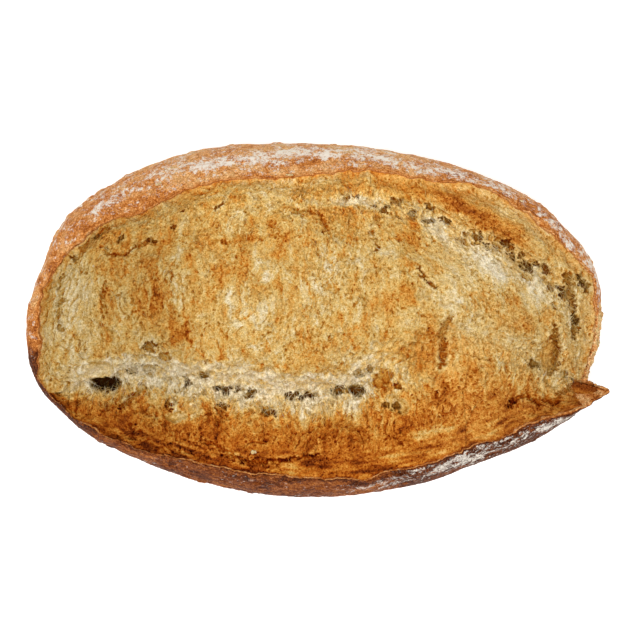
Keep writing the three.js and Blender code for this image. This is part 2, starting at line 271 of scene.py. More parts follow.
# %% Holes and pockets
# Holes with torn edges: x, y, half-length, half-width, turn in degrees, depth.
HOLES = [
    (-101, -31, 6.5, 2.8, 3, 11), (-78.4, -13, 2.8, 2.4, 15, 4),
    (-71.7, -17.6, 2.6, 2.2, 0, 2), (-87.9, -25.2, 1.6, 1.2, 0, 3), (-80, -23.4, 2.4, 0.9, 0, 3),
    (-62.4, -31, 1.1, 2.4, 0, 6), (-53.5, -26.7, 2, 1.2, -30, 5), (-47.8, -32.8, 1.8, 1.6, 0, 6),
    (-43.8, -33.9, 2, 1.8, 0, 6), (-38.9, -33.8, 1.3, 1.1, 0, 5), (-32.6, -35.3, 2.8, 1.1, 30, 5),
    (-13.4, -36.1, 2.4, 1.2, 0, 5.5), (-5.9, -36.6, 3.4, 1.3, 10, 6), (9.2, -33.8, 2, 1.5, 30, 5.5),
    (18.1, -33.8, 3.8, 2, -15, 6.5), (19.1, -25.8, 1.8, 1.5, 0, 4), (23.8, -24.4, 1.3, 1.2, 0, 4),
    (31.8, -40.4, 1.6, 1.5, 0, 5), (37, -41.8, 2.4, 1.5, -40, 5),
    (-23.8, -44.1, 3, 1.5, 3, 5), (-25.2, -41.6, 1.8, 1, -20, 2.5), (-45, -40.8, 2.6, 1.1, -20, 4),
    (-70.9, -40.4, 2.4, 1.9, 0, 3.5),
    (37.3, -30.8, 1.6, 1.3, 0, 3), (101, -21.8, 3.4, 1.8, -20, 4.5),
    (115.3, 12.6, 3.6, 1.6, -55, 5.5), (126, 17, 4, 1.4, -60, 5.5), (120.9, -1, 5, 1.1, 88, 5),
    (113.5, 14.8, 1.5, 1.2, 0, 4), (59.9, 46.1, 2.8, 1.4, -30, 5),
    (52.7, 46.5, 1.5, 1, 0, 4), (51.8, 52.6, 1.6, 1.1, 0, 4), (68.6, 39.8, 1.6, 1.2, 0, 4),
    (75, 39, 2, 1.6, 0, 4.5), (78.5, 34.4, 1.4, 1.1, 0, 4), (89, 35.5, 3.8, 1.5, -30, 5),
    (91.2, 29.7, 1.7, 1.4, 0, 4.5), (95.8, 30.1, 1.5, 1.2, 0, 4), (98.2, 24.8, 2.8, 1.4, -50, 5),
    (102.9, 25.4, 1.5, 1.1, 0, 4), (107.3, 23.4, 1.4, 2.4, 0, 4), (12.9, 56.4, 1.4, 1.1, 0, 3.5),
    (17.8, 57.3, 2, 0.9, 0, 3.5), (36.9, 55, 2.6, 1.4, 10, 4), (31.2, 50.8, 1.5, 2.2, 0, 4),
    (43.6, 49.7, 1.5, 1.4, 0, 4), (25, 53.1, 1.4, 1.2, 0, 3.5), (-46, 52.6, 2.4, 0.9, 30, 3.5),
    (-62.9, 49.8, 1.3, 0.8, 30, 3), (-68.1, 42.9, 1.2, 0.9, 0, 2.5), (-77.6, 36.6, 1.2, 0.9, 0, 2.5),
    (-104.5, 38, 2.5, 1, 38, 4), (-92.5, 37.5, 2.6, 1, 45, 4), (-115.7, 28.8, 1.2, 0.8, 0, 3),
]
# Pockets, which are smooth open bubbles: x, y, half-length, half-width, turn, depth, toasting.
POCKETS = [
    (-104.5, -24.5, 8, 5, 12, 4.0, 0.24), (37, -39.5, 6, 3.6, -38, 3.0, 0.16),
    (-67.5, -45.5, 5, 3.4, 15, 2.2, 0.12), (30, -28, 6, 3.8, 42, 3.0, 0.46),
    (108.5, -16.7, 5, 7, -10, 2.8, 0.38), (-58, -43, 3.4, 2.6, 0, 1.8, 0.14),
    (-23.5, 19, 3.2, 2.6, 10, 1.0, 0.10), (-65.5, -17, 3.4, 3, 0, 1.6, 0.22),
    (48.5, 12, 5, 3.4, 20, 1.6, 0.18), (60, 9, 4.5, 3.4, 60, 1.6, 0.16),
    (12, 54.6, 7, 1.8, -4, 1.6, 0.02), (25, 54.5, 4, 1.4, -12, 1.4, 0.12),
]
print(len(HOLES), "holes and", len(POCKETS), "pockets in the crumb")


# %% Measuring from lines and spots
def nearest(line, x, y):
    """The nearest point of an open line: distance, x, y, and the line's third value there."""
    best = np.full(x.shape, np.inf)
    found = np.zeros((3, *x.shape))
    for start, end in zip(line, line[1:]):
        ax, ay, av = (*start, 0)[:3]
        bx, by, bv = (*end, 0)[:3]
        run = (bx - ax) ** 2 + (by - ay) ** 2
        t = np.clip(((x - ax) * (bx - ax) + (y - ay) * (by - ay)) / run, 0, 1)
        px, py = mix(ax, bx, t), mix(ay, by, t)
        distance = np.hypot(x - px, y - py)
        closer = distance < best
        best = np.where(closer, distance, best)
        found = np.where(closer, np.stack([px, py, mix(av, bv, t)]), found)
    return best, *found


def line_y(line, x):
    """The y of a line that runs left to right, at x."""
    return np.interp(x, [point[0] for point in line], [point[1] for point in line])


def in_spot(cx, cy, half_length, half_width, turn, x, y):
    """How far out a place lies in a turned oval: 0 in its middle, 1 on its edge."""
    c, s = math.cos(math.radians(turn)), math.sin(math.radians(turn))
    u = ((x - cx) * c + (y - cy) * s) / half_length
    v = ((y - cy) * c - (x - cx) * s) / half_width
    return np.hypot(u, v)


print("depth of the slash under the loaf's middle:", nearest(SLASH, np.zeros(1), np.zeros(1))[3].round(1))

# %% [markdown]
# ## Noise
# Torn bread is rough at every scale, from swellings the size of a thumb to pores under a millimetre.
# Gradient noise gives soft waves, its folded form gives thin ridges like stretched gluten, and cells give
# the walls and hollows of bubbles. Each helper takes points in millimetres and the size of a feature, and
# can stretch that feature along a direction, because the crumb was pulled across the cut as it tore.

# %% Noise helpers
NOISE_GAIN, STRAND_GAIN, WALL_GAIN = 1.6, 2.0, 1.6
SEED_STEP = (17.3, -9.1, 5.7)
DRAW_WEIGHTS, DRAW_SPREAD = (12.9898, 78.233, 37.719), 43758.5453


def stretched(x, y, z, size, along=90.0, stretch=1.0, seed=0):
    """Points scaled so that a feature is size across and stretch times as long in the direction along."""
    c, s = math.cos(math.radians(along)), math.sin(math.radians(along))
    u = (x * c + y * s) / (size * stretch)
    v = (y * c - x * s) / size
    far = [step * seed for step in SEED_STEP]
    return np.stack([u + far[0], v + far[1], z / size + far[2]], axis=-1)


def waves(x, y, z, size, **how):
    """Soft noise, about -1 to 1."""
    points = stretched(x, y, z, size, **how)
    return NOISE_GAIN * np.array([noise.noise(point) for point in points.tolist()])


def layered(x, y, z, layers):
    """Soft noise of several sizes. Each layer is its height, its size and its seed."""
    return sum(height * waves(x, y, z, size, seed=seed) for height, size, seed in layers)


def strands(x, y, z, size, **how):
    """Thin ridges on a low ground, 0 to 1."""
    return np.clip(1 - np.abs(waves(x, y, z, size, **how)) * STRAND_GAIN, 0, 1)


def bubbles(x, y, z, size, **how):
    """Cells: how near the wall a place is (0 on it, about 1 in the middle) and a draw for each cell."""
    points = stretched(x, y, z, size, **how)
    wall = np.empty(len(points))
    draw = np.empty(len(points))
    for i, point in enumerate(points.tolist()):
        distances, middles = noise.voronoi(point)
        wall[i] = distances[1] - distances[0]
        draw[i] = sum(place * weight for place, weight in zip(middles[0], DRAW_WEIGHTS))
    draw = np.modf(np.abs(np.sin(draw) * DRAW_SPREAD))[0]
    return np.clip(wall * WALL_GAIN, 0, 1), draw


print("noise at three places:", np.round(waves(np.arange(3) * 3.3, np.ones(3), np.zeros(3), 4.0), 2))

# %% [markdown]
# ## The torn rim
# The skin tore along the rim, so its line wanders by about a millimetre, and it is toothed beside the
# ear's free tip. The tip is so sharp that points spread evenly round the loaf would miss it, so a helper
# draws the angles closer together there. The crumb and the skin both end on this one line.

# %% The torn rim
TIP_ANGLE, TIP_REACH, TIP_CROWDING = 339.0, 6.0, 0.8
RIM_WANDER = ((0.9, 8.0, 18), (0.5, 3.0, 18), (0.25, 1.3, 18))
RIM_RISE = 0.4
TIP_CALM, TIP_CALM_SPAN = 2.0, 7.0
TEETH = ((1, 2.3, 19), (0.6, 1.0, 24))
TOOTH_HEIGHT, TEETH_FROM_TIP, TEETH_SPREAD = 1.7, 7.0, 4.5
TEETH_START_Y, TEETH_START_SPAN = -34.2, 0.8


def crowded(angle):
    """Angles drawn closer together round the ear's tip, where the rim turns sharply."""
    off = (angle - TIP_ANGLE + 180) % 360 - 180
    return (TIP_ANGLE + off * (1 - TIP_CROWDING * bell(off, TIP_REACH))) % 360


# How far out the torn rim lies from its smooth line, in mm, at each of many angles.
torn_angles = np.linspace(0, 360, 14401)
torn_x, torn_y = place(torn_angles, smooth_rim(torn_angles)[0])
torn_out = layered(torn_x, torn_y, 0 * torn_x, RIM_WANDER)
from_tip = np.hypot(torn_x - EAR_TIP[0], torn_y - EAR_TIP[1])
torn_out *= smooth((from_tip - TIP_CALM) / TIP_CALM_SPAN)
on_torn_side = smooth((torn_y - TEETH_START_Y) / TEETH_START_SPAN)
beside_tip = bell(from_tip - TEETH_FROM_TIP, TEETH_SPREAD) * on_torn_side
torn_out += TOOTH_HEIGHT * layered(torn_x, torn_y, 0 * torn_x, TEETH) * beside_tip


def rim(angle):
    """The torn rim's reach and height at an angle."""
    reach, height = smooth_rim(angle)
    x, y = place(angle, reach)
    out = np.interp(np.asarray(angle) % 360, torn_angles, torn_out)
    return reach * (1 + out / np.hypot(x, y)), height + RIM_RISE * out


print("the rim wanders from", round(torn_out.min(), 1), "to", round(torn_out.max(), 1), "mm")

# %% [markdown]
# ## The form of the crumb
# The torn crumb is a height over the table. It starts from the dome, loses the slash and the back tear,
# climbs up the ear's face on the near side, and comes down to the rim all round. Working it out as a
# height keeps the visible crumb close to the solid beneath, which is made in the same way.

# %% Height of the crumb
def dome(x, y):
    angle, reach = polar(x, y)
    share = reach / waist(angle)[0]
    return WAIST_HEIGHT + (CROWN_HEIGHT - WAIST_HEIGHT) * np.sqrt(np.clip(1 - share**DOME_POWER, 0, 1))


def to_rim(x, y):
    """Plan distance to the rim, and the height where the crumb meets it."""
    angle, _ = polar(x, y)
    reach, height = rim(angle)
    edge_x, edge_y = place(angle, reach)
    drop = np.where((angle > EAR_FROM) & (angle < EAR_TO), EAR_LIP_DROP, LIP_DROP)
    return np.hypot(edge_x - x, edge_y - y), height - drop


ROLL_LENGTHS = (46, 31, 23)


def long_rolls(x, y):
    long, middle, short = (2 * math.pi / length for length in ROLL_LENGTHS)
    return (
        np.sin(long * x + 0.6 * np.sin(long * y)) * np.cos(0.7 * long * y)
        + 0.6 * np.sin(middle * (0.8 * x - 0.6 * y) + 1)
        + 0.5 * np.sin(short * (x + 0.3 * y) + 2)
    )


NEVER_ZERO = 0.01


def main_form(x, y):
    """The crumb's height without its roughness, and where each place lies on it."""
    away, slash_x, slash_y, depth = nearest(SLASH, x, y)
    edge_away, edge_height = to_rim(x, y)
    floor = dome(slash_x, slash_y) - depth
    share = away / (away + edge_away + NEVER_ZERO)
    ear_face = mix(floor, edge_height, mix(share, smooth(share), 0.5))
    tear_away, _, _, tear_depth = nearest(TEAR, x, y)
    under_rim = (y > line_y(TEAR, x)) | (x > TEAR[-1][0])
    tear_width = np.where(under_rim, TEAR_RIM_SIDE, TEAR_BLOOM_SIDE)
    cut = depth * mix(bell(away, SLASH_SHOULDER), bell(away, SLASH_WALL), WALL_SHARE)
    bloom = dome(x, y) - cut - tear_depth * bell(tear_away, tear_width)
    bloom = mix(bloom, edge_height, smooth(1 - edge_away / RIM_BLEND))
    on_ear = y < line_y(SLASH, x)
    where = {
        "slash_away": away, "slash_depth": depth, "edge_away": edge_away, "on_ear": on_ear,
        "ear_share": np.where(on_ear, share, 0), "tear_away": tear_away, "tear_depth": tear_depth,
    }
    return np.where(on_ear, ear_face, bloom), where


crown = main_form(np.zeros(1), np.full(1, 20.0))[0][0]
print("the bloom stands", round(crown, 1), "mm over the table near its middle")

# %% Large relief, and marks with torn edges
ROLL_HEIGHT = 0.7
LARGE_WAVES = ((0.9, 11, 3), (0.5, 5.5, 4))
BULGE_HEIGHT, BULGE_SIZE, BULGE_SETTLE = 1.1, 8, 0.4
SWELL_SOFTNESS = 1.5
MARK_WANDER_X = ((1.1, 3, 11), (0.9, 1.3, 12))
MARK_WANDER_Y = ((1.0, 3, 13), (0.7, 1.3, 14))
HOLE_FRONT_SLOPE, HOLE_BACK_SLOPE = 1.0, 0.4


def large_relief(x, y, z):
    relief = ROLL_HEIGHT * long_rolls(x, y) + layered(x, y, z, LARGE_WAVES)
    relief += BULGE_HEIGHT * np.abs(waves(x, y, z, BULGE_SIZE, seed=5)) - BULGE_SETTLE
    for cx, cy, half_length, half_width, turn, height in SWELLINGS:
        out = in_spot(cx, cy, half_length, half_width, turn, x, y)
        relief += height * smooth(1 - out / SWELL_SOFTNESS)
    return relief


def torn_marks(x, y, z):
    """Creases, ridges and holes. Their edges wander, because the crumb tore and wasn't cut."""
    wander_x = x + layered(x, y, z, MARK_WANDER_X)
    wander_y = y + layered(x, y, z, MARK_WANDER_Y)
    relief = np.zeros_like(x)
    crease = np.zeros_like(x)
    for width, height, line in FOLDS:
        fold = height * bell(nearest(line, wander_x, wander_y)[0], width)
        relief += fold
        crease = np.maximum(crease, -fold)
    hollow = np.zeros_like(x)
    for cx, cy, half_length, half_width, turn, depth in HOLES:
        out = in_spot(cx, cy, half_length, half_width, turn, wander_x, wander_y)
        behind = np.clip((wander_y - cy) / half_width, -1, 1)
        slope = mix(HOLE_FRONT_SLOPE, HOLE_BACK_SLOPE, (behind + 1) / 2)
        hollow = np.maximum(hollow, depth * smooth((1.3 - out) / slope))
    pocket = np.zeros_like(x)
    pocket_toast = np.zeros_like(x)
    for cx, cy, half_length, half_width, turn, depth, toasted in POCKETS:
        out = in_spot(cx, cy, half_length, half_width, turn, wander_x, wander_y)
        relief -= depth * np.clip(1.1 - out**2, 0, 1)
        inside = smooth((1.15 - out) / 0.3)
        pocket_toast = np.where(inside > pocket, toasted, pocket_toast)
        pocket = np.maximum(pocket, inside)
    return relief - hollow, np.maximum(hollow, crease), pocket, pocket_toast


print("large waves, in mm high and across:", [layer[:2] for layer in LARGE_WAVES])

# %% [markdown]
# ## The torn crumb
# The crumb is one sheet inside the rim, so it can start as a flat grid. The square grid is laid onto the
# oval of the rim, which keeps its cells nearly even, and each point is then lifted to its height. The
# fine roughness moves points along the surface's own normal, which lets it work on steep walls too.
# The grid's border is drawn down inside the skin and closed, so that the crumb is a body and not a sheet.

# %% Lay a grid onto the rim
CRUMB_CELLS = (696, 384)
CRUMB_INSET = 0.5
SPIKE_POWER = 8
SPIKE_SPAN = 9.0


def new_grid(name, cells):
    bpy.ops.object.select_all(action="DESELECT")
    bpy.ops.mesh.primitive_grid_add(x_subdivisions=cells[0], y_subdivisions=cells[1], size=2)
    grid = bpy.context.object
    grid.name = name
    grid.data.name = name
    return grid


def points_of(piece):
    flat = np.empty(3 * len(piece.data.vertices))
    piece.data.vertices.foreach_get("co", flat)
    return flat.reshape(-1, 3).T.copy()


def normals_of(piece):
    flat = np.empty(3 * len(piece.data.vertices), np.float32)
    piece.data.vertex_normals.foreach_get("vector", flat)
    return flat.reshape(-1, 3).T.astype(float)


def set_points(piece, x, y, z):
    """Writes points in millimetres on the loaf's lines as the piece's own, in metres on the frame."""
    moved = np.stack([(x - OUTLINE_MIDDLE[0]) * MM, (y - OUTLINE_MIDDLE[1]) * MM, z * MM], axis=1)
    piece.data.vertices.foreach_set("co", moved.ravel())
    piece.data.update()


def keep_on_points(piece, name, values):
    attribute = piece.data.attributes.new(name, "FLOAT", "POINT")
    attribute.data.foreach_set("value", np.ascontiguousarray(values, np.float32))


def soft_rim_reach(angle):
    """The rim's reach without the ear's sharp tip, for the inner part of the grid."""
    turns = np.linspace(-SPIKE_SPAN, SPIKE_SPAN, 13)
    return np.mean([rim((angle + turn) % 360)[0] for turn in turns], axis=0)


def to_disc(u, v):
    """A square from -1 to 1 drawn onto the round disc that it holds."""
    return u * np.sqrt(1 - v * v / 2), v * np.sqrt(1 - u * u / 2)


crumb = new_grid("bloom_crumb", CRUMB_CELLS)
u, v, _ = points_of(crumb)
disc_x, disc_y = to_disc(u, v)
out = np.hypot(disc_x, disc_y)
crumb_angle = np.degrees(np.arctan2(disc_y, disc_x)) % 360
to_tip = (crowded(crumb_angle) - crumb_angle + 180) % 360 - 180
crumb_angle = (crumb_angle + to_tip * out**SPIKE_POWER) % 360
crumb_reach = out * mix(soft_rim_reach(crumb_angle), rim(crumb_angle)[0], out**SPIKE_POWER)
edge_x, edge_y = place(crumb_angle, crumb_reach)
inset = 1 - out * CRUMB_INSET / np.maximum(np.hypot(edge_x, edge_y), 1)
crumb_x, crumb_y = edge_x * inset, edge_y * inset
print("crumb grid:", len(crumb.data.vertices), "points inside the rim")

# %% Lift the grid to the crumb's height
RELIEF_FROM_EDGE, MARKS_FROM_EDGE = 5.0, 2.5

form, where = main_form(crumb_x, crumb_y)
crumb_z = form + smooth(where["edge_away"] / RELIEF_FROM_EDGE) * large_relief(crumb_x, crumb_y, form)
marks, hollow, pocket, pocket_toast = torn_marks(crumb_x, crumb_y, crumb_z)
near_edge_fade = smooth(where["edge_away"] / MARKS_FROM_EDGE)
crumb_z = crumb_z + near_edge_fade * marks
set_points(crumb, crumb_x, crumb_y, crumb_z)
print("the crumb lies from", round(crumb_z.min(), 1), "to", round(crumb_z.max(), 1), "mm over the table")

# %% [markdown]
# ## Roughness of the crumb
# Up close the torn crumb is a foam that was pulled open. Long fine ridges follow the pull, bubbles of
# one to three millimetres stand open between them, and the skin of others still domes over. The pull
# runs across the cut on most of the bloom, along the rim at the left end, and aslant on the right. So
# each kind of noise is made once for every pull, and the pulls are blended by their share at each place.

# %% Kinds of crumb
WHITE_WANDER = ((2.4, 5, 25), (1.2, 2, 26))
WHITE_REACH, WHITE_FADE = 13.0, 4.0


def shares(x, y, where):
    """How much of each kind of crumb is at a place."""
    valley = bell(where["slash_away"], 11) * np.clip(where["slash_depth"] / 20, 0, 1)
    tear = bell(where["tear_away"], 6) * np.clip(where["tear_depth"] / 10, 0, 1)
    ear_edge = smooth((where["ear_share"] - 0.55) / 0.35)
    left_end = smooth((-98 - x) / 18)
    aslant = smooth((x - 20) / 30) * smooth((y + 20) / 15)
    slope = smooth((y - line_y(TEAR, x)) / 4) * smooth((x - 25) / 25) * smooth((124 - x) / 10)
    up_the_wall = where["slash_away"] + layered(x, y, 0 * x, WHITE_WANDER)
    white = smooth((WHITE_REACH - up_the_wall) / WHITE_FADE) * ~where["on_ear"]
    white = white * smooth((where["slash_depth"] - 9) / 8)
    return {
        "valley": valley, "tear": tear, "ear_edge": ear_edge, "left_end": left_end, "aslant": aslant,
        "slope": slope, "white": white,
    }


kinds = shares(crumb_x, crumb_y, where)
print({kind: f"{100 * share.mean():.0f} %" for kind, share in kinds.items()})


# %% Which way the crumb was pulled
# Directions in degrees: over most of the bloom, aslant on its right, round the left end, along the ear's
# golden edge, and down the back slope.
ACROSS, ASLANT, ROUND_LEFT, ALONG_EDGE, DOWN_SLOPE = 92, 128, 68, 4, 148


def pulls(kinds):
    """How strong each pull is, and its direction."""
    return [
        (np.ones_like(kinds["aslant"]), ACROSS), (1.6 * kinds["aslant"], ASLANT),
        (2.2 * kinds["left_end"], ROUND_LEFT), (3.0 * kinds["ear_edge"], ALONG_EDGE),
        (3.0 * kinds["slope"], DOWN_SLOPE),
    ]


def pulled(make, x, y, z, size, stretch, kinds, seed):
    """One noise in every direction, blended by which pull there is."""
    total = np.zeros_like(x)
    weight = np.zeros_like(x)
    for n, (share, along) in enumerate(pulls(kinds)):
        total += share**2 * make(x, y, z, size, along=along, stretch=stretch, seed=seed + n)
        weight += share**2
    return total / weight


def pulled_cells(x, y, z, size, stretch, kinds, seed):
    """Cells drawn out along the strongest pull at each place."""
    layers = pulls(kinds)
    strongest = np.argmax([share for share, _ in layers], axis=0)
    wall = np.empty_like(x)
    draw = np.empty_like(x)
    for n, (_, along) in enumerate(layers):
        here = strongest == n
        wall[here], draw[here] = bubbles(
            x[here], y[here], z[here], size, along=along, stretch=stretch, seed=seed + n
        )
    return wall, draw


def open_cells(x, y, z, size, stretch, chance, seed, along):
    """Bubbles that stand open, 0 to 1, and the draw for each. chance is the share that is open."""
    wall, draw = bubbles(x, y, z, size, along=along, stretch=stretch, seed=seed)
    return smooth((chance - draw) / 0.15) * smooth((wall - 0.08) / 0.32), draw


print("the pulls run at", [along for _, along in pulls(kinds)], "degrees")

# %% Fine relief
# Each kind of roughness has a size across and a height or depth, in mm.
FINE_WANDER, FINE_WANDER_SIZE = 0.6, 2.4
FLAKE_SIZE, FLAKE_HEIGHT = 1.9, 0.42
CRUMB_SIZE, CRUMB_HEIGHT = 1.0, 0.24
FIBRE_SIZE, FIBRE_HEIGHT = 1.4, 0.45
LUMP_HEIGHT, LUMP_SIZES = 0.26, (3.6, 1.7)
DUST_SIZE, DUST_HEIGHT = 0.9, 0.16
SHEET_SIZES, SHEET_HEIGHT, WALL_SETTLE = (5.5, 3.0), 1.1, 1.5
GROOVE_SIZE, GROOVE_DEPTH = 4.0, 0.5
FURROW_SIZE, FURROW_DEPTH = 5.0, 0.9
CREVICE_SIZE, CREVICE_DEPTH = 6.0, 0.9
LARGE_CELL, LARGE_PIT = 3.4, 1.7
MEDIUM_CELL, MEDIUM_PIT = 2.1, 1.0
SMALL_CELL, SMALL_PIT = 1.2, 0.55
SETTLE = 0.35


def pits_of(x, y, z, wander_x, wander_y, kinds, open_crumb):
    """How deep the open bubbles of three sizes go."""
    here = (wander_x, wander_y, z)
    patchy = 0.15 * waves(x, y, z, 13, seed=51)
    large_chance = 0.5 * kinds["tear"] + 0.2 * kinds["valley"]
    large, large_draw = open_cells(*here, LARGE_CELL, 1.4, large_chance, 70, 145)
    medium, medium_draw = open_cells(*here, MEDIUM_CELL, 1.5, mix(0.10, 0.45, open_crumb) + patchy, 50, 90)
    small, _ = open_cells(*here, SMALL_CELL, 1.3, 0.22 + patchy, 60, 90)
    pits = MEDIUM_PIT * medium * (0.4 + medium_draw) + SMALL_PIT * small
    return pits + LARGE_PIT * large * (0.5 + large_draw)


def fine_relief(x, y, z, kinds):
    """The relief of torn foam, how deep its bubbles go, and a draw that differs by grain."""
    wander_x = x + FINE_WANDER * waves(x, y, z, FINE_WANDER_SIZE, seed=15)
    wander_y = y + FINE_WANDER * waves(x, y, z, FINE_WANDER_SIZE, seed=16)
    here = (wander_x, wander_y, z)
    open_crumb = np.clip(kinds["valley"] + kinds["tear"], 0, 1)
    fibrous = smooth(0.45 + 0.7 * waves(x, y, z, 7, seed=17) + 0.5 * open_crumb)
    flake, flake_draw = pulled_cells(*here, FLAKE_SIZE, 3.0, kinds, seed=20)
    crumb_wall, grain = pulled_cells(*here, CRUMB_SIZE, 2.0, kinds, seed=200)
    fibres = pulled(strands, *here, FIBRE_SIZE, 5.0, kinds, seed=30)
    crevices = pulled(strands, *here, CREVICE_SIZE, 3.2, kinds, seed=230)
    lumps = np.abs(waves(x, y, z, LUMP_SIZES[0], seed=41))
    lumps += 0.6 * np.abs(waves(x, y, z, LUMP_SIZES[1], seed=42))
    rise = FLAKE_HEIGHT * smooth(flake / 0.5) * (0.3 + 0.7 * flake_draw)
    rise += CRUMB_HEIGHT * smooth(crumb_wall / 0.6) * grain
    rise += FIBRE_HEIGHT * fibres * fibrous + LUMP_HEIGHT * lumps
    rise += DUST_HEIGHT * waves(x, y, z, DUST_SIZE, seed=43)
    sheets = strands(x, y, z, SHEET_SIZES[0], along=20, stretch=2.4, seed=48)
    sheets += 0.5 * strands(x, y, z, SHEET_SIZES[1], along=105, stretch=3, seed=49)
    rise += kinds["white"] * (SHEET_HEIGHT * sheets - WALL_SETTLE)
    grooves = strands(x, y, z, GROOVE_SIZE, along=DOWN_SLOPE, stretch=4, seed=47)
    rise -= GROOVE_DEPTH * kinds["slope"] * grooves
    rise *= mix(0.55, 1.25, smooth(0.5 + 0.8 * waves(x, y, z, 12, seed=45))) * (1 - 0.35 * kinds["left_end"])
    furrows = strands(x, y, z, FURROW_SIZE, along=72, stretch=3.5, seed=46)
    rise -= FURROW_DEPTH * kinds["left_end"] * smooth((furrows - 0.6) / 0.35)
    deep_here = smooth(0.2 + 1.2 * waves(x, y, z, 9, seed=44))
    rise -= CREVICE_DEPTH * smooth((crevices - 0.68) / 0.3) * deep_here
    pits = pits_of(x, y, z, wander_x, wander_y, kinds, open_crumb)
    return rise - pits - SETTLE, pits, grain


rough, pits, grain = fine_relief(crumb_x, crumb_y, crumb_z, kinds)
print("open bubbles of up to", round(pits.max(), 1), "mm deep")

# %% Push the points along their normals
# How much smoother the crumb is inside a pocket, inside a hole, and on the ear's golden edge.
POCKET_CALM, HOLE_CALM, GOLDEN_CALM = 0.75, 0.6, 0.4
POCKET_CLOSED, HOLE_CLOSED, GOLDEN_CLOSED = 0.8, 0.8, 0.7

in_hollow = smooth((hollow - 1) / 2)
golden_edge = kinds["ear_edge"] * smooth((crumb_x + 30) / 30)
rough *= smooth(where["edge_away"] / 3)
rough *= (1 - POCKET_CALM * pocket) * (1 - HOLE_CALM * in_hollow) * (1 - GOLDEN_CALM * golden_edge)
pits *= (1 - POCKET_CLOSED * pocket) * (1 - HOLE_CLOSED * in_hollow) * (1 - GOLDEN_CLOSED * golden_edge)
crumb_facing = normals_of(crumb)
crumb_x += rough * crumb_facing[0]
crumb_y += rough * crumb_facing[1]
crumb_z += rough * crumb_facing[2]
set_points(crumb, crumb_x, crumb_y, crumb_z)
print("roughness from", round(rough.min(), 2), "to", round(rough.max(), 2), "mm")

# %% [markdown]
# ## How toasted the crumb is
# Bread browns where it stands out into the heat and stays pale where it is sheltered. So the toasting is
# worked out from the form: the high dry ridges and the ear are brown, the wall of the slash is white,
# and soft patches vary it. Streaks of it follow the pull, as the fibres do. Holes and open pits are
# browned too, and small crests kept a little paler: that is painted shade and painted highlight. It is
# kept on the points of the mesh, and the material turns it into colour.

# %% Patches of toasting
# Patches of more (or, below zero, less) toasting: x, y, half-length, half-width, turn, amount.
# Some patches brown spots that lie in shade beside creases, so the list is partly toasting and partly painted
# shade.
TOAST_PATCHES = [
    (-75, 17, 6, 12, 10, 0.11), (-65, 25, 8, 4, 30, 0.08), (-38.7, 20.5, 15, 5.5, -8, 0.13),
    (-51, 13.6, 4, 8, 0, 0.09), (-67, -4, 2, 9, 0, 0.10), (-44, -4, 3, 10, 0, 0.08),
    (-17.6, 28, 3, 8, 0, 0.12), (-14.6, 42, 3, 5, -12, 0.08), (-79.5, 25.2, 5, 5, 0, 0.14),
    (37, 10, 15, 8, 0, 0.18), (-22.5, 17.3, 7, 7, 0, 0.18), (-23.5, 19, 3, 3, 0, -0.30),
    (10, 50.3, 9, 4, -10, 0.22), (36.5, 38.5, 5, 2, 10, 0.2), (44.5, 39.8, 5, 8, 0, 0.28),
    (-2, 49, 8, 4, -25, 0.20), (-63.6, 10.3, 5.5, 12, 0, -0.13), (-43.7, 13.6, 4, 6, 0, -0.09),
    (-28.5, 4.3, 5.5, 8, 0, -0.14), (-8, 43.6, 7, 8, 0, -0.14), (-34.5, -5, 3, 6, 0, -0.13),
    (33.6, 34.4, 7, 5.5, 0, -0.14), (35, 23, 3, 9, 0, -0.12), (74, 49, 32, 7, -32, 0.25),
    (64, 53.5, 9, 4, -20, 0.16), (46, 60, 20, 5, -8, 0.22), (54, 42, 11, 7, -35, -0.24),
    (78, 27, 22, 9, -36, -0.24), (102, 14, 13, 8, -48, -0.16), (62, 12, 14, 8, 0, -0.10),
    (90, 8, 12, 5, 20, 0.12), (108, 1, 8, 5, -30, 0.14), (47, -14, 22, 11, 20, 0.24),
    (84, -30, 34, 14, -8, 0.06), (-92, -46, 26, 6, -30, 0.10), (-51.5, -42, 6, 11, 8, 0.16),
    (33.5, -30.3, 7, 5, 42, 0.34), (51, -53, 16, 2.8, 12, -0.40), (112, -8, 8, 16, 0, -0.1),
    (-115, 2, 12, 34, 0, -0.15), (-100, 10, 5, 12, 15, 0.08), (-108, -25, 12, 6, 0, -0.14),
    (-95, 42, 24, 5, 32, 0.10), (10, 61, 20, 4, 0, 0.10), (20, 55, 14, 4, -8, -0.16),
    (128, -33, 9, 5, 15, 0.34), (84, 43, 30, 4, -33, 0.16), (109.5, -15, 5, 11, 0, 0.28),
    (94, -2, 10, 7, 0, 0.20), (57, -32, 11, 9, 0, 0.16), (-72, -2, 16, 20, 0, 0.05),
    (-60, -40, 9, 5, 0, 0.10), (-33, 36.5, 17, 2.5, 4, 0.16), (24, -66, 30, 5, 4, 0.10),
    (51, -2, 5, 10, -10, 0.12),
]
amounts = [patch[-1] for patch in TOAST_PATCHES]
print(len(amounts), "patches of toasting, from", min(amounts), "to", max(amounts))


# %% What stands out and what lies low
LIFT_CELLS = 4
LIFT_GAIN = 1.6


def spread(values, cells):
    """Values of the grid averaged over a square of cells each way."""
    table = values.reshape(CRUMB_CELLS[1] + 1, CRUMB_CELLS[0] + 1)
    for axis in (0, 1):
        padded = np.concatenate([table.take([0] * cells, axis), table, table.take([-1] * cells, axis)], axis)
        table = sum(
            padded.take(range(step, step + table.shape[axis]), axis) for step in range(2 * cells + 1)
        ) / (2 * cells + 1)
    return table.ravel()


relief = rough + np.clip(marks, -2, 2) * near_edge_fade
lift = np.clip(LIFT_GAIN * (relief - spread(relief, LIFT_CELLS)), -1.4, 1)
print("lift from", round(lift.min(), 2), "to", round(lift.max(), 2))

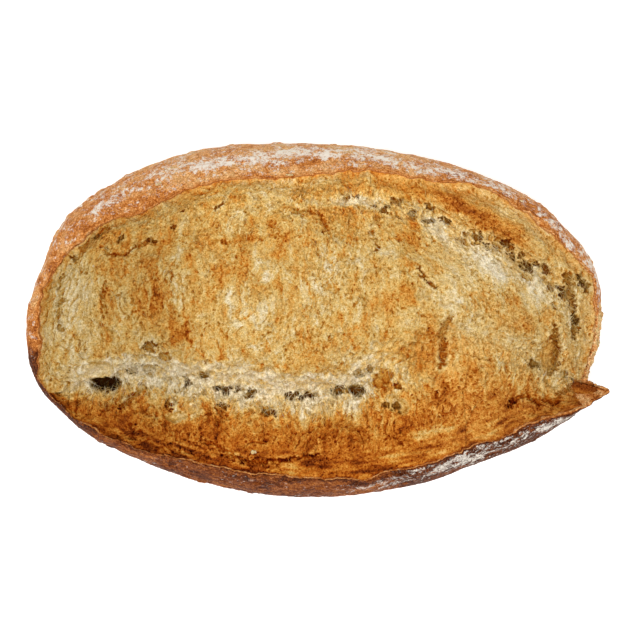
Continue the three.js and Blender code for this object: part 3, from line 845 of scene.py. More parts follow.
# %% Toasting
BLOOM_TOAST, WHITE_TOAST, HOLE_SHADE_TOAST = 0.33, 0.12, 0.34
TOAST_WANDER_X = ((1.5, 5, 71), (0.7, 2, 72))
TOAST_WANDER_Y = ((1.5, 5, 73), (0.7, 2, 74))
# Up the ear's face, from the slash to the lip: the share of the way, and the toasting there.
EAR_SHARES = [0, 0.12, 0.3, 0.45, 0.7, 0.9, 1]
EAR_TOAST = [0.08, 0.15, 0.44, 0.63, 0.70, 0.69, 0.78]
LEFT_EAR_TOAST = 0.13
STROKE_TOAST, FINE_STROKE_TOAST, HAIR_TOAST = 0.22, 0.20, 0.10
LAYER_TOAST, RIM_TOAST = 0.20, 0.16
BLOTCH_TOAST, FINE_BLOTCH_TOAST = 0.10, 0.12
WALL_BLOTCHES = ((1, 5.5, 96), (0.7, 2.2, 97))
PATCH_SOFTNESS = 1.4


def face_toasting(x, y, z, where, here, kinds):
    """The toasting of the bloom, and of the ear's face from its foot to its lip."""
    base = BLOOM_TOAST + 0.06 * waves(x, y, z, 26, seed=70)
    share = where["ear_share"] + 0.04 * waves(x, y, z, 6, seed=77)
    share = share + 0.12 * pulled(waves, *here, 2.0, 5.0, kinds, seed=78)
    ear = np.interp(share, EAR_SHARES, EAR_TOAST)
    on_left_ear = smooth((-35 - x) / 30) * smooth((x + 112) / 20)
    ear = ear + LEFT_EAR_TOAST * smooth((share - 0.66) / 0.2) * on_left_ear
    deep = smooth((where["slash_depth"] - 9) / 8)
    ear = np.where(share < 0.4, mix(0.36 + 0.3 * share, ear, deep), ear)
    return np.where(where["on_ear"], ear, base), share


def streaks(x, y, z, here, kinds, lively):
    """Browner streaks of three sizes, along the pull."""
    strokes = smooth((pulled(strands, *here, 6.5, 4.0, kinds, seed=275) - 0.68) / 0.3)
    fine_strokes = smooth((pulled(strands, *here, 3.0, 5.0, kinds, seed=285) - 0.62) / 0.3)
    hairs = smooth((pulled(strands, *here, 1.5, 7.0, kinds, seed=295) - 0.6) / 0.3)
    streaked = STROKE_TOAST * strokes * smooth(0.3 + waves(x, y, z, 17, seed=76))
    streaked += FINE_STROKE_TOAST * fine_strokes * smooth(0.2 + waves(x, y, z, 10, seed=79))
    return (streaked + HAIR_TOAST * hairs) * lively


def toasting(x, y, z, where, kinds, lift, grain, hole):
    wander_x = x + layered(x, y, z, TOAST_WANDER_X)
    wander_y = y + layered(x, y, z, TOAST_WANDER_Y)
    here = (wander_x, wander_y, z)
    white = kinds["white"]
    toast, share = face_toasting(x, y, z, where, here, kinds)
    toast = mix(toast, WHITE_TOAST, white)
    for cx, cy, half_length, half_width, turn, amount in TOAST_PATCHES:
        out = in_spot(cx, cy, half_length, half_width, turn, wander_x, wander_y)
        toast = toast + amount * smooth(1 - out / PATCH_SOFTNESS)
    lively = (1 - 0.6 * white) * (1 - 0.4 * kinds["ear_edge"] * smooth((x - 20) / 40))
    toast += streaks(x, y, z, here, kinds, lively)
    angle, reach = polar(x, y)
    layers = waves(angle * 2.2, 60 * reach, 0 * z, 1.1, along=0, stretch=9, seed=95)
    toast += LAYER_TOAST * layers * smooth((share - 0.6) / 0.2) * where["on_ear"]
    toast += BLOTCH_TOAST * pulled(waves, *here, 7.0, 3.0, kinds, seed=280) * lively
    toast += FINE_BLOTCH_TOAST * pulled(waves, *here, 2.8, 3.5, kinds, seed=290) * lively
    # The lift makes small crests a little paler and low spots browner: painted highlight and painted shade.
    toast += (0.06 * (grain - 0.5) - 0.04 * lift) * lively - 0.03
    toast += 0.13 * white * layered(x, y, z, WALL_BLOTCHES)
    toast = mix(toast, pocket_toast + 0.25 * (toast - 0.3), 0.85 * pocket)
    toast += RIM_TOAST * bell(where["edge_away"], 1.2)
    return np.clip(mix(toast, HOLE_SHADE_TOAST, hole), 0, 1)


# Holes and open pits are browned: painted shade of their insides.
hole = smooth((hollow - 2.5) / 4.2)
in_a_hole = np.maximum(hole, smooth((pits - 0.5) / 1.5))
toast = toasting(crumb_x, crumb_y, crumb_z, where, kinds, lift, grain, in_a_hole)
keep_on_points(crumb, "toast", toast)
print("toasting from", round(toast.min(), 2), "to", round(toast.max(), 2))

# %% [markdown]
# ## How rich and how bright the crumb is
# Light that falls into a pit or a hole bounces from wall to wall, and comes out darker and more golden
# than the same crumb in the open. Two values on the points paint that shade. Richness is the power that the
# colour is raised to, which deepens it, and brightness is a plain factor. Both also carry painted light
# and shade for the loaf's broad light: the back slope and the wall of the slash are paler, and the two
# ends, which slope away from the light, are darker.

# %% Richness and brightness
PIT_SHADE, HOLLOW_SHADE, HOLE_SHADE, DEEPEST_SHADE, POCKET_SHADE = 0.28, 0.06, 0.82, 0.4, 0.35
SHADE_LIMIT = 1.7
RICH_SHADE, RICH_LOW, RICH_HIGH = 1.05, 0.5, 0.14
DARK_SHADE, DARK_LOW, LIGHT_HIGH = 0.52, 0.14, 0.04
LEFT_END_SHADE, RIGHT_END_SHADE, RIGHT_PALING = 0.20, 0.12, 0.15
BACK_LIGHT, WALL_LIGHT, TEAR_LIGHT = 0.15, 0.10, 0.12
EAR_LIGHT, SLOPE_LIGHT = 1.06, 1.10

deepest = smooth((hollow - 7) / 3)
shade = PIT_SHADE * pits + HOLLOW_SHADE * hollow + HOLE_SHADE * hole + DEEPEST_SHADE * deepest
shade = np.clip(shade, 0, SHADE_LIMIT) + POCKET_SHADE * pocket * smooth((pocket_toast - 0.3) / 0.25)
low, high = np.clip(-lift, 0, 2) * (1 - 0.4 * kinds["white"]), np.clip(lift, 0, 1)
# Deeper colour in pits, holes and low spots: painted shade.
richness = 1 + RICH_SHADE * shade + RICH_LOW * low**1.4 - RICH_HIGH * high
richness -= RIGHT_PALING * smooth((crumb_x - 40) / 25)
in_tear = bell(where["tear_away"], 14) * np.clip(where["tear_depth"] / 8, 0, 1)
toward_back = smooth((crumb_y - 18) / 24) * bell(where["edge_away"], 24)
# Painted shade in pits, holes and low spots, a painted highlight on crests, and painted light on the ear, the
# back slope, the tear and the wall of the slash.
brightness = (1 - DARK_SHADE * shade) * (1 - DARK_LOW * low + LIGHT_HIGH * high)
brightness *= mix(mix(1, SLOPE_LIGHT, kinds["slope"]), EAR_LIGHT, where["on_ear"])
brightness *= 1 + TEAR_LIGHT * in_tear * (1 - kinds["slope"])
# Painted shade: both ends are darker, as they slope away from the light.
brightness *= 1 - LEFT_END_SHADE * smooth((-44 - crumb_x) / 34) - RIGHT_END_SHADE * smooth((crumb_x - 60) / 45)
brightness *= 1 + BACK_LIGHT * toward_back * (1 - kinds["slope"])
brightness *= 1 + WALL_LIGHT * kinds["white"]
keep_on_points(crumb, "richness", richness)
keep_on_points(crumb, "brightness", brightness)
print("brightness from", round(brightness.min(), 2), "to", round(brightness.max(), 2))

# %% [markdown]
# ## Part and close the crumb
# So fine a grid is too heavy for one piece. It parts where the loaf itself does, along the floor of the
# slash, and once more across the bloom, where the roughness hides the joint: both sides keep the same
# points there. Each piece's border is then drawn down inside the loaf and filled. Beneath the ear's free
# tip there is no loaf to hide it, so there the border is drawn in past the waist and stays higher.

# %% Helpers that close and part a piece
# The border's steps down: the share of its reach that it keeps, and its height.
SKIRT = ((0.985, 38.0), (0.93, 26.0))
UNDER_TIP = 0.94
TIP_DROP = 14.0


def only_select(piece, kind="VERT"):
    bpy.ops.object.select_all(action="DESELECT")
    piece.select_set(True)
    bpy.context.view_layer.objects.active = piece
    bpy.ops.object.mode_set(mode="EDIT")
    bpy.ops.mesh.select_mode(type=kind)
    bpy.ops.mesh.select_all(action="DESELECT")


def close_below(piece, steps):
    """Draws the open border down and in to each step's share and height, and fills it."""
    only_select(piece, "EDGE")
    bpy.ops.mesh.select_non_manifold()
    for share, height in steps:
        bpy.ops.mesh.extrude_region_move()
        bpy.ops.object.mode_set(mode="OBJECT")
        picked = np.empty(len(piece.data.vertices), bool)
        piece.data.vertices.foreach_get("select", picked)
        x, y, z = points_of(piece)
        border_x = x[picked] / MM + OUTLINE_MIDDLE[0]
        border_y = y[picked] / MM + OUTLINE_MIDDLE[1]
        border_z = z[picked] / MM
        angle, reach = polar(border_x, border_y)
        free = overhang(angle)
        inside_waist = UNDER_TIP * waist(angle)[0] / np.maximum(reach, NEVER_ZERO)
        keep = mix(share, np.minimum(share, inside_waist), free)
        x[picked] = (border_x * keep - OUTLINE_MIDDLE[0]) * MM
        y[picked] = (border_y * keep - OUTLINE_MIDDLE[1]) * MM
        z[picked] = mix(height, np.maximum(border_z - TIP_DROP, height - TIP_DROP), free) * MM
        piece.data.vertices.foreach_set("co", np.stack([x, y, z], axis=1).ravel())
        bpy.ops.object.mode_set(mode="EDIT")
    bpy.ops.mesh.edge_face_add()
    bpy.ops.mesh.select_all(action="SELECT")
    bpy.ops.mesh.normals_make_consistent(inside=False)
    bpy.ops.object.mode_set(mode="OBJECT")
    bpy.ops.object.shade_smooth()


def part_off(piece, picked_points, name):
    """Makes the faces whose points are all picked a piece of their own."""
    only_select(piece, "FACE")
    bpy.ops.object.mode_set(mode="OBJECT")
    piece.data.vertices.foreach_set("select", picked_points)
    corners = np.empty(4 * len(piece.data.polygons), np.int32)
    piece.data.polygons.foreach_get("vertices", corners)
    piece.data.polygons.foreach_set("select", picked_points[corners.reshape(-1, 4)].all(axis=1))
    bpy.ops.object.mode_set(mode="EDIT")
    bpy.ops.mesh.separate(type="SELECTED")
    bpy.ops.object.mode_set(mode="OBJECT")
    parted = next(other for other in bpy.context.selected_objects if other != piece)
    parted.name = name
    parted.data.name = name
    return parted


print("the border is drawn down in", len(SKIRT), "steps")

# %% Part the crumb and close its pieces
PARTING_X = 2.0
PARTING_WANDER = ((4, 15, 130),)

on_ear_side = where["on_ear"]
on_right = ~on_ear_side & (crumb_x > PARTING_X + layered(crumb_x, crumb_y, 0 * crumb_x, PARTING_WANDER))
parting = np.where(on_ear_side, 1, np.where(on_right, 2, 0))
keep_on_points(crumb, "parting", parting)
ear_crumb = part_off(crumb, parting == 1, "ear_crumb")
left_parting = np.empty(len(crumb.data.vertices), np.float32)
crumb.data.attributes["parting"].data.foreach_get("value", left_parting)
right_crumb = part_off(crumb, left_parting > 0.5, "bloom_crumb_right")
crumb_pieces = [crumb, right_crumb, ear_crumb]
for piece in crumb_pieces:
    close_below(piece, SKIRT)
    triangles = sum(len(face.vertices) - 2 for face in piece.data.polygons)
    print(piece.name, "closed, with", triangles, "triangles")

# %% [markdown]
# ## Torn strands
# Where the dough pulled apart, thin strands of gluten stayed behind. They stand up in the slash, along
# the back tear and round the holes, and a second lot lies nearly flat on the bloom. One strand is a slim
# three-sided cone, bent and tapered. It is modelled once, and a copy of its points is laid at each place,
# so that each lot is one light mesh.

# %% One strand
STRAND_RINGS, STRAND_TAPER = 3, 0.3
bpy.ops.object.select_all(action="DESELECT")
bpy.ops.mesh.primitive_cone_add(vertices=3, radius1=1, radius2=STRAND_TAPER, depth=1, location=(0, 0, 0.5))
strand = bpy.context.object
bpy.ops.object.transform_apply(location=True, rotation=True, scale=True)
only_select(strand)
for ring in range(1, STRAND_RINGS):
    bpy.ops.mesh.select_all(action="SELECT")
    bpy.ops.mesh.bisect(plane_co=(0, 0, ring / STRAND_RINGS), plane_no=(0, 0, 1))
bpy.ops.mesh.select_all(action="SELECT")
bpy.ops.mesh.quads_convert_to_tris()
bpy.ops.object.mode_set(mode="OBJECT")
strand_x, strand_y, strand_z = points_of(strand)
strand_faces = np.array([list(face.vertices) for face in strand.data.polygons])
bpy.data.objects.remove(strand)
print("one strand:", len(strand_x), "points and", len(strand_faces), "faces")

# %% Lay the strands
SEED = 21
ASLANT_TURN, LEFT_TURN = 30, -24
STRAND_ARCH, STRAND_BEND = (-0.05, 0.25), 0.22
STRAND_SUNK = 0.2
TOAST_SPREAD, RICHNESS_RANGE, STRAND_LIGHT = 0.04, (0.85, 1.25), 0.03
rng = np.random.default_rng(SEED)


def lay_strands(name, count, wanted, length, radius, lean, tangle, paler):
    """
    Copies of the strand at points drawn where they are wanted, joined as one mesh. length, radius (in mm)
    and lean (in degrees) are ranges, tangle is how far the directions stray, and paler eases the toasting.
    """
    chosen = rng.choice(len(crumb_x), count, replace=False, p=wanted / wanted.sum())
    along = ACROSS + ASLANT_TURN * kinds["aslant"][chosen] + LEFT_TURN * kinds["left_end"][chosen]
    along += rng.normal(0, tangle, count) + np.where(rng.random(count) < 0.5, 180, 0)
    tilt = np.radians(rng.uniform(*lean, count))
    long = rng.uniform(*length, count)
    thick = rng.uniform(*radius, count)
    normal = crumb_facing[:, chosen]
    run = np.stack([np.cos(np.radians(along)), np.sin(np.radians(along)), np.zeros(count)])
    run -= normal * (run * normal).sum(axis=0)
    run /= np.linalg.norm(run, axis=0)
    side = np.cross(normal.T, run.T).T
    forward = run * np.cos(tilt) + normal * np.sin(tilt)
    lifted = normal * np.cos(tilt) - run * np.sin(tilt)
    arch = rng.uniform(*STRAND_ARCH, count)
    bend = rng.normal(0, STRAND_BEND, count)
    base = np.stack([crumb_x, crumb_y, crumb_z])[:, chosen] - STRAND_SUNK * normal
    points = (
        base[:, :, None]
        + forward[:, :, None] * (long[:, None] * strand_z)
        + lifted[:, :, None] * (thick[:, None] * strand_x - (arch * long)[:, None] * strand_z**2)
        + side[:, :, None] * (thick[:, None] * strand_y + (bend * long)[:, None] * strand_z**2)
    )
    steps = np.arange(count)[:, None, None] * len(strand_x)
    all_faces = (strand_faces[None] + steps).reshape(-1, 3)
    mesh = bpy.data.meshes.new(name)
    mesh.from_pydata(np.zeros((count * len(strand_x), 3)), [], all_faces.tolist())
    piece = bpy.data.objects.new(name, mesh)
    bpy.context.collection.objects.link(piece)
    set_points(piece, *points.reshape(3, -1))
    only_select(piece)
    bpy.ops.mesh.select_all(action="SELECT")
    bpy.ops.mesh.normals_make_consistent(inside=False)
    bpy.ops.object.mode_set(mode="OBJECT")
    bpy.ops.object.shade_smooth()
    open_here = np.clip(kinds["valley"] + kinds["tear"], 0, 1)[chosen]
    own_toast = toast[chosen] - paler * open_here + rng.normal(0, TOAST_SPREAD, count)
    own_richness = rng.uniform(*RICHNESS_RANGE, count)
    own_brightness = np.minimum(brightness[chosen] + STRAND_LIGHT, 1)
    keep_on_points(piece, "toast", np.repeat(np.clip(own_toast, 0.04, 0.8), len(strand_x)))
    keep_on_points(piece, "richness", np.repeat(own_richness, len(strand_x)))
    keep_on_points(piece, "brightness", np.repeat(own_brightness, len(strand_x)))
    print(name, "has", count, "strands and", len(all_faces), "triangles")
    return piece


near_hole = (1 - pocket) * smooth(spread(hollow, 3) / 1.5) * smooth(1.4 - hollow)
clear = smooth((where["edge_away"] - 3) / 3) * (1 - pocket)
in_the_tears = (kinds["valley"] + 0.9 * kinds["tear"] + 0.35 * near_hole + 0.03) * clear
in_drifts = 0.2 + smooth(0.5 + waves(crumb_x, crumb_y, crumb_z, 14, seed=140))
on_the_bloom = in_drifts * smooth(1.4 - 1.6 * where["ear_share"]) * clear
crumb_pieces += [
    lay_strands("torn_fibres", 7000, in_the_tears, (1.2, 5.0), (0.09, 0.20), (4, 38), 24, 0.10),
    lay_strands("bloom_fibres", 8500, on_the_bloom, (1.5, 4.5), (0.12, 0.26), (0, 12), 36, 0.05),
]

# %% [markdown]
# ## The skin
# The skin is the smooth dry outside of the dough: flat underneath, tucked in at the foot, widest at the
# waist, and drawn in to the rim, where it ends in a thin torn lip. A grid rolled up round the loaf gives
# it rows from the middle of the base to the lip and down the lip's inner side. It is then closed inside
# the crumb. Its seam and its two poles are merged, so that it is one closed body. At the ear's tip the rim
# hangs out past the waist, so the side flares out to it, and the lip's inner side stays shallow.

# %% Rows of the skin
SKIN_AROUND = 1200
BASE_ROWS, UNDER_ROWS, SIDE_ROWS, LIP_ROWS = 10, 22, 41, 6
BASE_ROW_SPACING = 0.8
UNDER_TURN = math.radians(75)
SKIN_TURN = math.radians(60)
TIP_FLARE = 1.4
SKIN_THICKNESS = 0.7
LIP_CREST = 0.35
LIP_INSIDE, LIP_INSIDE_AT_TIP, LIP_LEAN = 5.0, 1.2, 0.9
INNER_SHARE = 0.84
INNER_HEIGHT, INNER_TIP_HEIGHT = 26.0, 32.0


def skin_rows():
    """Each row as its part of the profile and its share of that part."""
    rows = [("base", (n / BASE_ROWS) ** BASE_ROW_SPACING) for n in range(BASE_ROWS)]
    rows += [("under", n / UNDER_ROWS) for n in range(UNDER_ROWS)]
    rows += [("side", n / SIDE_ROWS) for n in range(SIDE_ROWS)]
    rows += [("lip", n / LIP_ROWS) for n in range(LIP_ROWS + 1)]
    return rows + [("inner", 0.0), ("inner", 1.0)]


def under_point(angle, share):
    """From the base, share 0, up to the waist, share 1."""
    x, y = place(angle, waist(angle)[0])
    turn = UNDER_TURN * (1 - share)
    round_in = (1 - np.cos(turn)) / (1 - math.cos(UNDER_TURN))
    keep = 1 - FOOT_INSET * round_in / np.hypot(x, y)
    return x * keep, y * keep, WAIST_HEIGHT * (1 - np.sin(turn) / math.sin(UNDER_TURN))


def side_point(angle, share):
    """From the waist, share 0, up to the rim, share 1."""
    low = waist(angle)[0]
    high, height = rim(angle)
    turn = SKIN_TURN * share
    round_in = (1 - np.cos(turn)) / (1 - math.cos(SKIN_TURN))
    sideways = np.where(high > low, share**TIP_FLARE, round_in)
    x, y = place(angle, mix(low, high, sideways))
    return x, y, mix(WAIST_HEIGHT, height, np.sin(turn) / math.sin(SKIN_TURN))


def lip_point(angle, share):
    """Over the thin lip, and a little way down its inner side."""
    reach, height = rim(angle)
    x, y = place(angle, reach)
    over = np.minimum(share * 2, 1)
    down = np.maximum(share * 2 - 1, 0)
    keep = 1 - (SKIN_THICKNESS * over + LIP_LEAN * down) / np.hypot(x, y)
    crest = LIP_CREST * np.sin(math.pi * over)
    return x * keep, y * keep, height + crest - mix(LIP_INSIDE, LIP_INSIDE_AT_TIP, overhang(angle)) * down


def skin_point(part, share, angle):
    if part == "base":
        x, y, _ = under_point(angle, 0.0)
        return x * share, y * share, np.zeros_like(x)
    if part == "under":
        return under_point(angle, share)
    if part == "side":
        return side_point(angle, share)
    if part == "lip":
        return lip_point(angle, share)
    x, y = place(angle, rim(angle)[0])
    keep = INNER_SHARE * (1 - share)
    return x * keep, y * keep, mix(INNER_HEIGHT, INNER_TIP_HEIGHT, overhang(angle) * (1 - share))


rows = skin_rows()
skin = new_grid("crust_skin", (SKIN_AROUND, len(rows) - 1))
across, up, _ = points_of(skin)
skin_angle = crowded(((across + 1) * 180) % 360)
row_of = np.rint((up + 1) / 2 * (len(rows) - 1)).astype(int)
skin_xyz = np.zeros((3, len(across)))
for number, (part, share) in enumerate(rows):
    here = row_of == number
    for axis, values in enumerate(skin_point(part, share, skin_angle[here])):
        skin_xyz[axis, here] = values
set_points(skin, *skin_xyz)
print("skin:", len(rows), "rows of", SKIN_AROUND, "points")

# %% Weld the seam and the poles
WELD = 1e-6

only_select(skin)
bpy.ops.mesh.select_all(action="SELECT")
bpy.ops.mesh.remove_doubles(threshold=WELD)
bpy.ops.mesh.normals_make_consistent(inside=False)
bpy.ops.object.mode_set(mode="OBJECT")
bpy.ops.object.shade_smooth()
print("skin welded:", len(skin.data.vertices), "points")

# %% [markdown]
# ## Relief of the skin
# The skin wrinkled as it dried, blistered where the steam pushed it, and cracked here and there at the
# rim. Underneath it took the fine grit of the hearth. Below the ear's tip the right end tore too, so it is
# rough there like crumb, with edges that wander into the skin.

# %% Where the skin cracked, and where its end tore
# Cracks in the skin: half-width, depth, and a line of x, y.
SKIN_CRACKS = [
    (0.45, 1.0, [(22.9, 77.5), (22.5, 74.5), (24.0, 71.5)]), (0.4, 0.9, [(24, 72), (26.9, 69.0)]),
    (0.4, 0.8, [(24, 72), (19.4, 69.2)]), (0.4, 1.0, [(-25.4, 72), (-24.0, 70), (-23.4, 66.6)]),
    (0.35, 0.8, [(-31, 66.2), (-23.2, 66.6), (-16.3, 65.6)]), (0.5, 1.0, [(17.8, -77), (17.8, -71)]),
]
END_WANDER = ((1, 7, 111), (0.5, 2.5, 112))
TORN_FROM_X, TORN_FROM_Y, TORN_TO_Y, TORN_FROM_Z = 122.0, -34.5, 7.0, 27.0
TORN_WANDER = 4.0


def torn_share(x, y, z):
    """How torn the skin of the right end is, 0 to 1."""
    wander = TORN_WANDER * layered(x, y, z, END_WANDER)
    share = smooth((x - TORN_FROM_X) / 6) * smooth((y - TORN_FROM_Y) / 0.8)
    return share * smooth((TORN_TO_Y + wander - y) / 4) * smooth((z - TORN_FROM_Z + wander) / 5)


x, y, z = points_of(skin) / MM
x += OUTLINE_MIDDLE[0]
y += OUTLINE_MIDDLE[1]
angle, reach = polar(x, y)
rim_height = rim(angle)[1]
above = smooth((z - WAIST_HEIGHT) / (rim_height - WAIST_HEIGHT))
torn_end = torn_share(x, y, z)
cracked = np.zeros_like(x)
for width, depth, line in SKIN_CRACKS:
    cracked = np.maximum(cracked, bell(nearest(line, x, y)[0], width) * above * depth)
print(len(SKIN_CRACKS), "cracks, and", int((torn_end > 0.5).sum()), "points on the torn end")

# %% Skin relief
SWELLS = ((0.8, 24, 101), (0.35, 9, 102))
WRINKLE_HEIGHT, GRIT_HEIGHT, BLISTER_HEIGHT = 0.22, 0.16, 0.55
BLISTER_SIZE, BLISTER_CHANCE = 5.5, 0.28
TORN_GRAIN, TORN_FINE_GRAIN, TORN_CELLS = 0.7, 0.4, 0.9
RAGGED = ((0.5, 4.0, 106), (0.35, 1.7, 107))
RAGGED_HEIGHT = 0.6
BASE_PIT = 0.35

wrinkles = WRINKLE_HEIGHT * waves(x, y, z, 3.0, along=0, stretch=3.0, seed=103) * above
grit = GRIT_HEIGHT * waves(x, y, z, 1.7, seed=104)
wall, draw = bubbles(x, y, z, BLISTER_SIZE, seed=105)
blisters = BLISTER_HEIGHT * smooth((draw - 1 + BLISTER_CHANCE) / 0.1) * smooth((wall - 0.25) / 0.5)
end_cells, _ = open_cells(x, y, z, 2.2, 1.3, 0.5, 113, 80)
torn = TORN_GRAIN * waves(x, y, z, 1.8, along=90, stretch=3, seed=109)
torn += TORN_FINE_GRAIN * waves(x, y, z, 0.9, seed=110) - TORN_CELLS * end_cells
push = layered(x, y, z, SWELLS) + wrinkles + grit + blisters + torn_end * torn
hidden_inside = (reach < 0.9) & (z > 5)
push = np.where(hidden_inside, 0, smooth(z / 6) * push - cracked)
lip_line = smooth((z - rim_height + 1.0) / 0.9)
ragged = RAGGED_HEIGHT * smooth((z - rim_height + 2.5) / 2.5) * layered(x, y, z, RAGGED)
facing = normals_of(skin)
facing[2] = np.where(z < 3, 0, facing[2])
x += push * facing[0]
y += push * facing[1]
z += push * facing[2] + ragged
on_base = (z < 0.01) & (reach < 0.85)
z = np.maximum(z + np.where(on_base, BASE_PIT * smooth(waves(x, y, z, 2.4, seed=108) * 2 - 0.4), 0), 0)
set_points(skin, x, y, z)
print("skin pushed from", round(push.min(), 2), "to", round(push.max(), 2), "mm")

# %% [markdown]
# ## Flour and baking on the skin
# The dough was proved in flour, which stayed on the crust in streaks and as dust towards the foot. It
# rubbed off the lip and the ear, and never reached what tore in the oven. Under it the skin browned, most
# on the ear and at the lip, where it is thin. Both are kept on the points, for the material to colour.

# %% Flour on the skin
# Streaks of flour left on the skin: x, y, half-length, half-width, turn, strength.
FLOUR = [
    (-104.5, 52.7, 6, 2.0, 40, 0.30), (-92, 61, 10, 3.0, 33, 0.36), (-73, 69.5, 8, 2.2, 25, 0.30),
    (-57, 72.5, 12, 2.6, 12, 0.30), (-36, 74.5, 14, 2.0, 3, 0.30), (0, 80, 30, 2.0, 0, 0.20),
    (-16, 76.8, 20, 2.6, 2, 0.34), (132, 20, 16, 3.5, -72, 0.34),
    (16, 77.5, 14, 1.8, -3, 0.26), (42.5, 72.5, 14, 2.2, -12, 0.38), (68, 67.5, 12, 1.6, -20, 0.32),
    (86.5, 62, 8, 2.0, -30, 0.28), (112, 43, 13, 3.2, -52, 0.30), (86, -57.5, 28, 5.4, 21, 0.50),
    (52, -71, 20, 3.8, 14, 0.44), (-92, -66, 32, 2.5, -28, 0.30), (116, -46.5, 10, 3.6, 24, 0.5),
    (12, -79.5, 10, 2.0, 0, 0.34), (30, -78, 8, 2.0, 8, 0.30), (-30, -76, 14, 1.4, -6, 0.16),
]
FLOUR_EVERYWHERE, BACK_FLOUR, FOOT_FLOUR, LOW_FLOUR = 0.22, 0.15, 0.4, 0.16
LIP_BARE, EAR_BARE, LEFT_BARE, TORN_BARE = 0.45, 0.25, 0.14, 0.8
FLOUR_SPOT_EDGE, FLOUR_SPOT_FADE = 1.3, 1.5

ear_skin = smooth((-y - 8) / 18)
turned = normals_of(skin)
# Where the skin faces the middle of the loaf, as it does on the lip's inner side.
outward = (turned[0] * x + turned[1] * y) / np.maximum(np.hypot(x, y), 1)
inward = smooth(-outward / 0.2) * (z > 15)
flour = FLOUR_EVERYWHERE + 0.12 * waves(x, y, z, 14, seed=120) + BACK_FLOUR * smooth(y / 30)
flour += 0.02 * smooth((-x - 60) / 40)
for cx, cy, half_length, half_width, turn, strength in FLOUR:
    out = in_spot(cx, cy, half_length, half_width, turn, x, y)
    flour += strength * smooth(FLOUR_SPOT_EDGE - out / FLOUR_SPOT_FADE)
flour += 0.24 * waves(x, y, z, 3.4, along=12, stretch=2.2, seed=123) + 0.16 * waves(x, y, z, 1.7, seed=124)
flour += 0.22 * ear_skin * waves(x, y, z, 2.2, along=22, stretch=5, seed=125)
flour += FOOT_FLOUR * smooth((20 - z) / 14) + LOW_FLOUR * smooth((46 - z) / 16) * (1 - ear_skin)
flour -= EAR_BARE * ear_skin + LIP_BARE * lip_line + TORN_BARE * torn_end + inward
flour -= LEFT_BARE * smooth((-70 - x) / 20) * smooth((z - 40) / 10)
keep_on_points(skin, "flour", np.clip(flour, 0, 1))
print("flour covers", round(100 * float(np.mean(flour > 0.5))), "% of the skin's points")

# %% Baking of the skin
BAKE, CRACK_BAKE, LEFT_BAKE, EAR_BAKE, EAR_LEFT_BAKE = 0.28, 0.2, 0.10, 0.54, 0.20
RIGHT_BAKE, RIGHT_EAR_BAKE = 0.10, 0.20
LIP_BAKE, EAR_LIP_BAKE, BELOW_LIP_BAKE = 0.14, 0.06, 0.10
TORN_BAKE, TIP_BAKE, TIP_BAKE_FACING_UP = 0.06, 0.62, 0.35
INNER_BAKE, INNER_TIP_EASE, TIP_STREAKS = 0.36, 0.16, 0.42

bake = BAKE + 0.08 * waves(x, y, z, 18, seed=121) + 0.12 * waves(x, y, z, 5, along=0, stretch=2.5, seed=122)
bake += CRACK_BAKE * cracked + LEFT_BAKE * smooth((-x - 70) / 30) * (1 - ear_skin)
bake += EAR_BAKE * ear_skin * smooth(z / 30)
bake += mix(RIGHT_BAKE, RIGHT_EAR_BAKE, ear_skin) * smooth((x - 20) / 60)
bake += BELOW_LIP_BAKE * bell(z - rim_height + 5, 4) * (1 - ear_skin)
bake += mix(LIP_BAKE, EAR_LIP_BAKE, ear_skin) * lip_line
bake += ear_skin * (EAR_LEFT_BAKE * smooth((-92 - x) / 22) + 0.03)
tip_crust = TIP_BAKE * smooth((-y - 28) / 3) * mix(TIP_BAKE_FACING_UP, 1, smooth((0.3 - turned[2]) / 0.3))
torn_bake = TORN_BAKE + tip_crust + 0.14 * end_cells + 0.14 * waves(x, y, z, 5, seed=127)
torn_bake += 0.2 * waves(x, y, z, 1.6, along=90, stretch=2.5, seed=126)
bake = mix(bake, torn_bake, torn_end)
tip_streaks = smooth((strands(x, y, z, 2.0, along=25, stretch=3.5, seed=129) - 0.4) / 0.4)
inner_bake = INNER_BAKE + 0.2 * waves(x, y, z, 2.0, seed=128)
inner_bake += smooth((x - 112) / 8) * (TIP_STREAKS * tip_streaks - INNER_TIP_EASE)
bake = mix(bake, inner_bake, inward)
keep_on_points(skin, "bake", np.clip(bake, 0, 1))
print("baking from", round(bake.min(), 2), "to", round(bake.max(), 2), "before it is held to 0 to 1")

# %% [markdown]
# ## Loose flakes
# Here and there a thin flake of dry crumb came loose and lies on the crust. Each is a ball pressed flat,
# with a ragged outline, turned to lie along the surface where it rests.

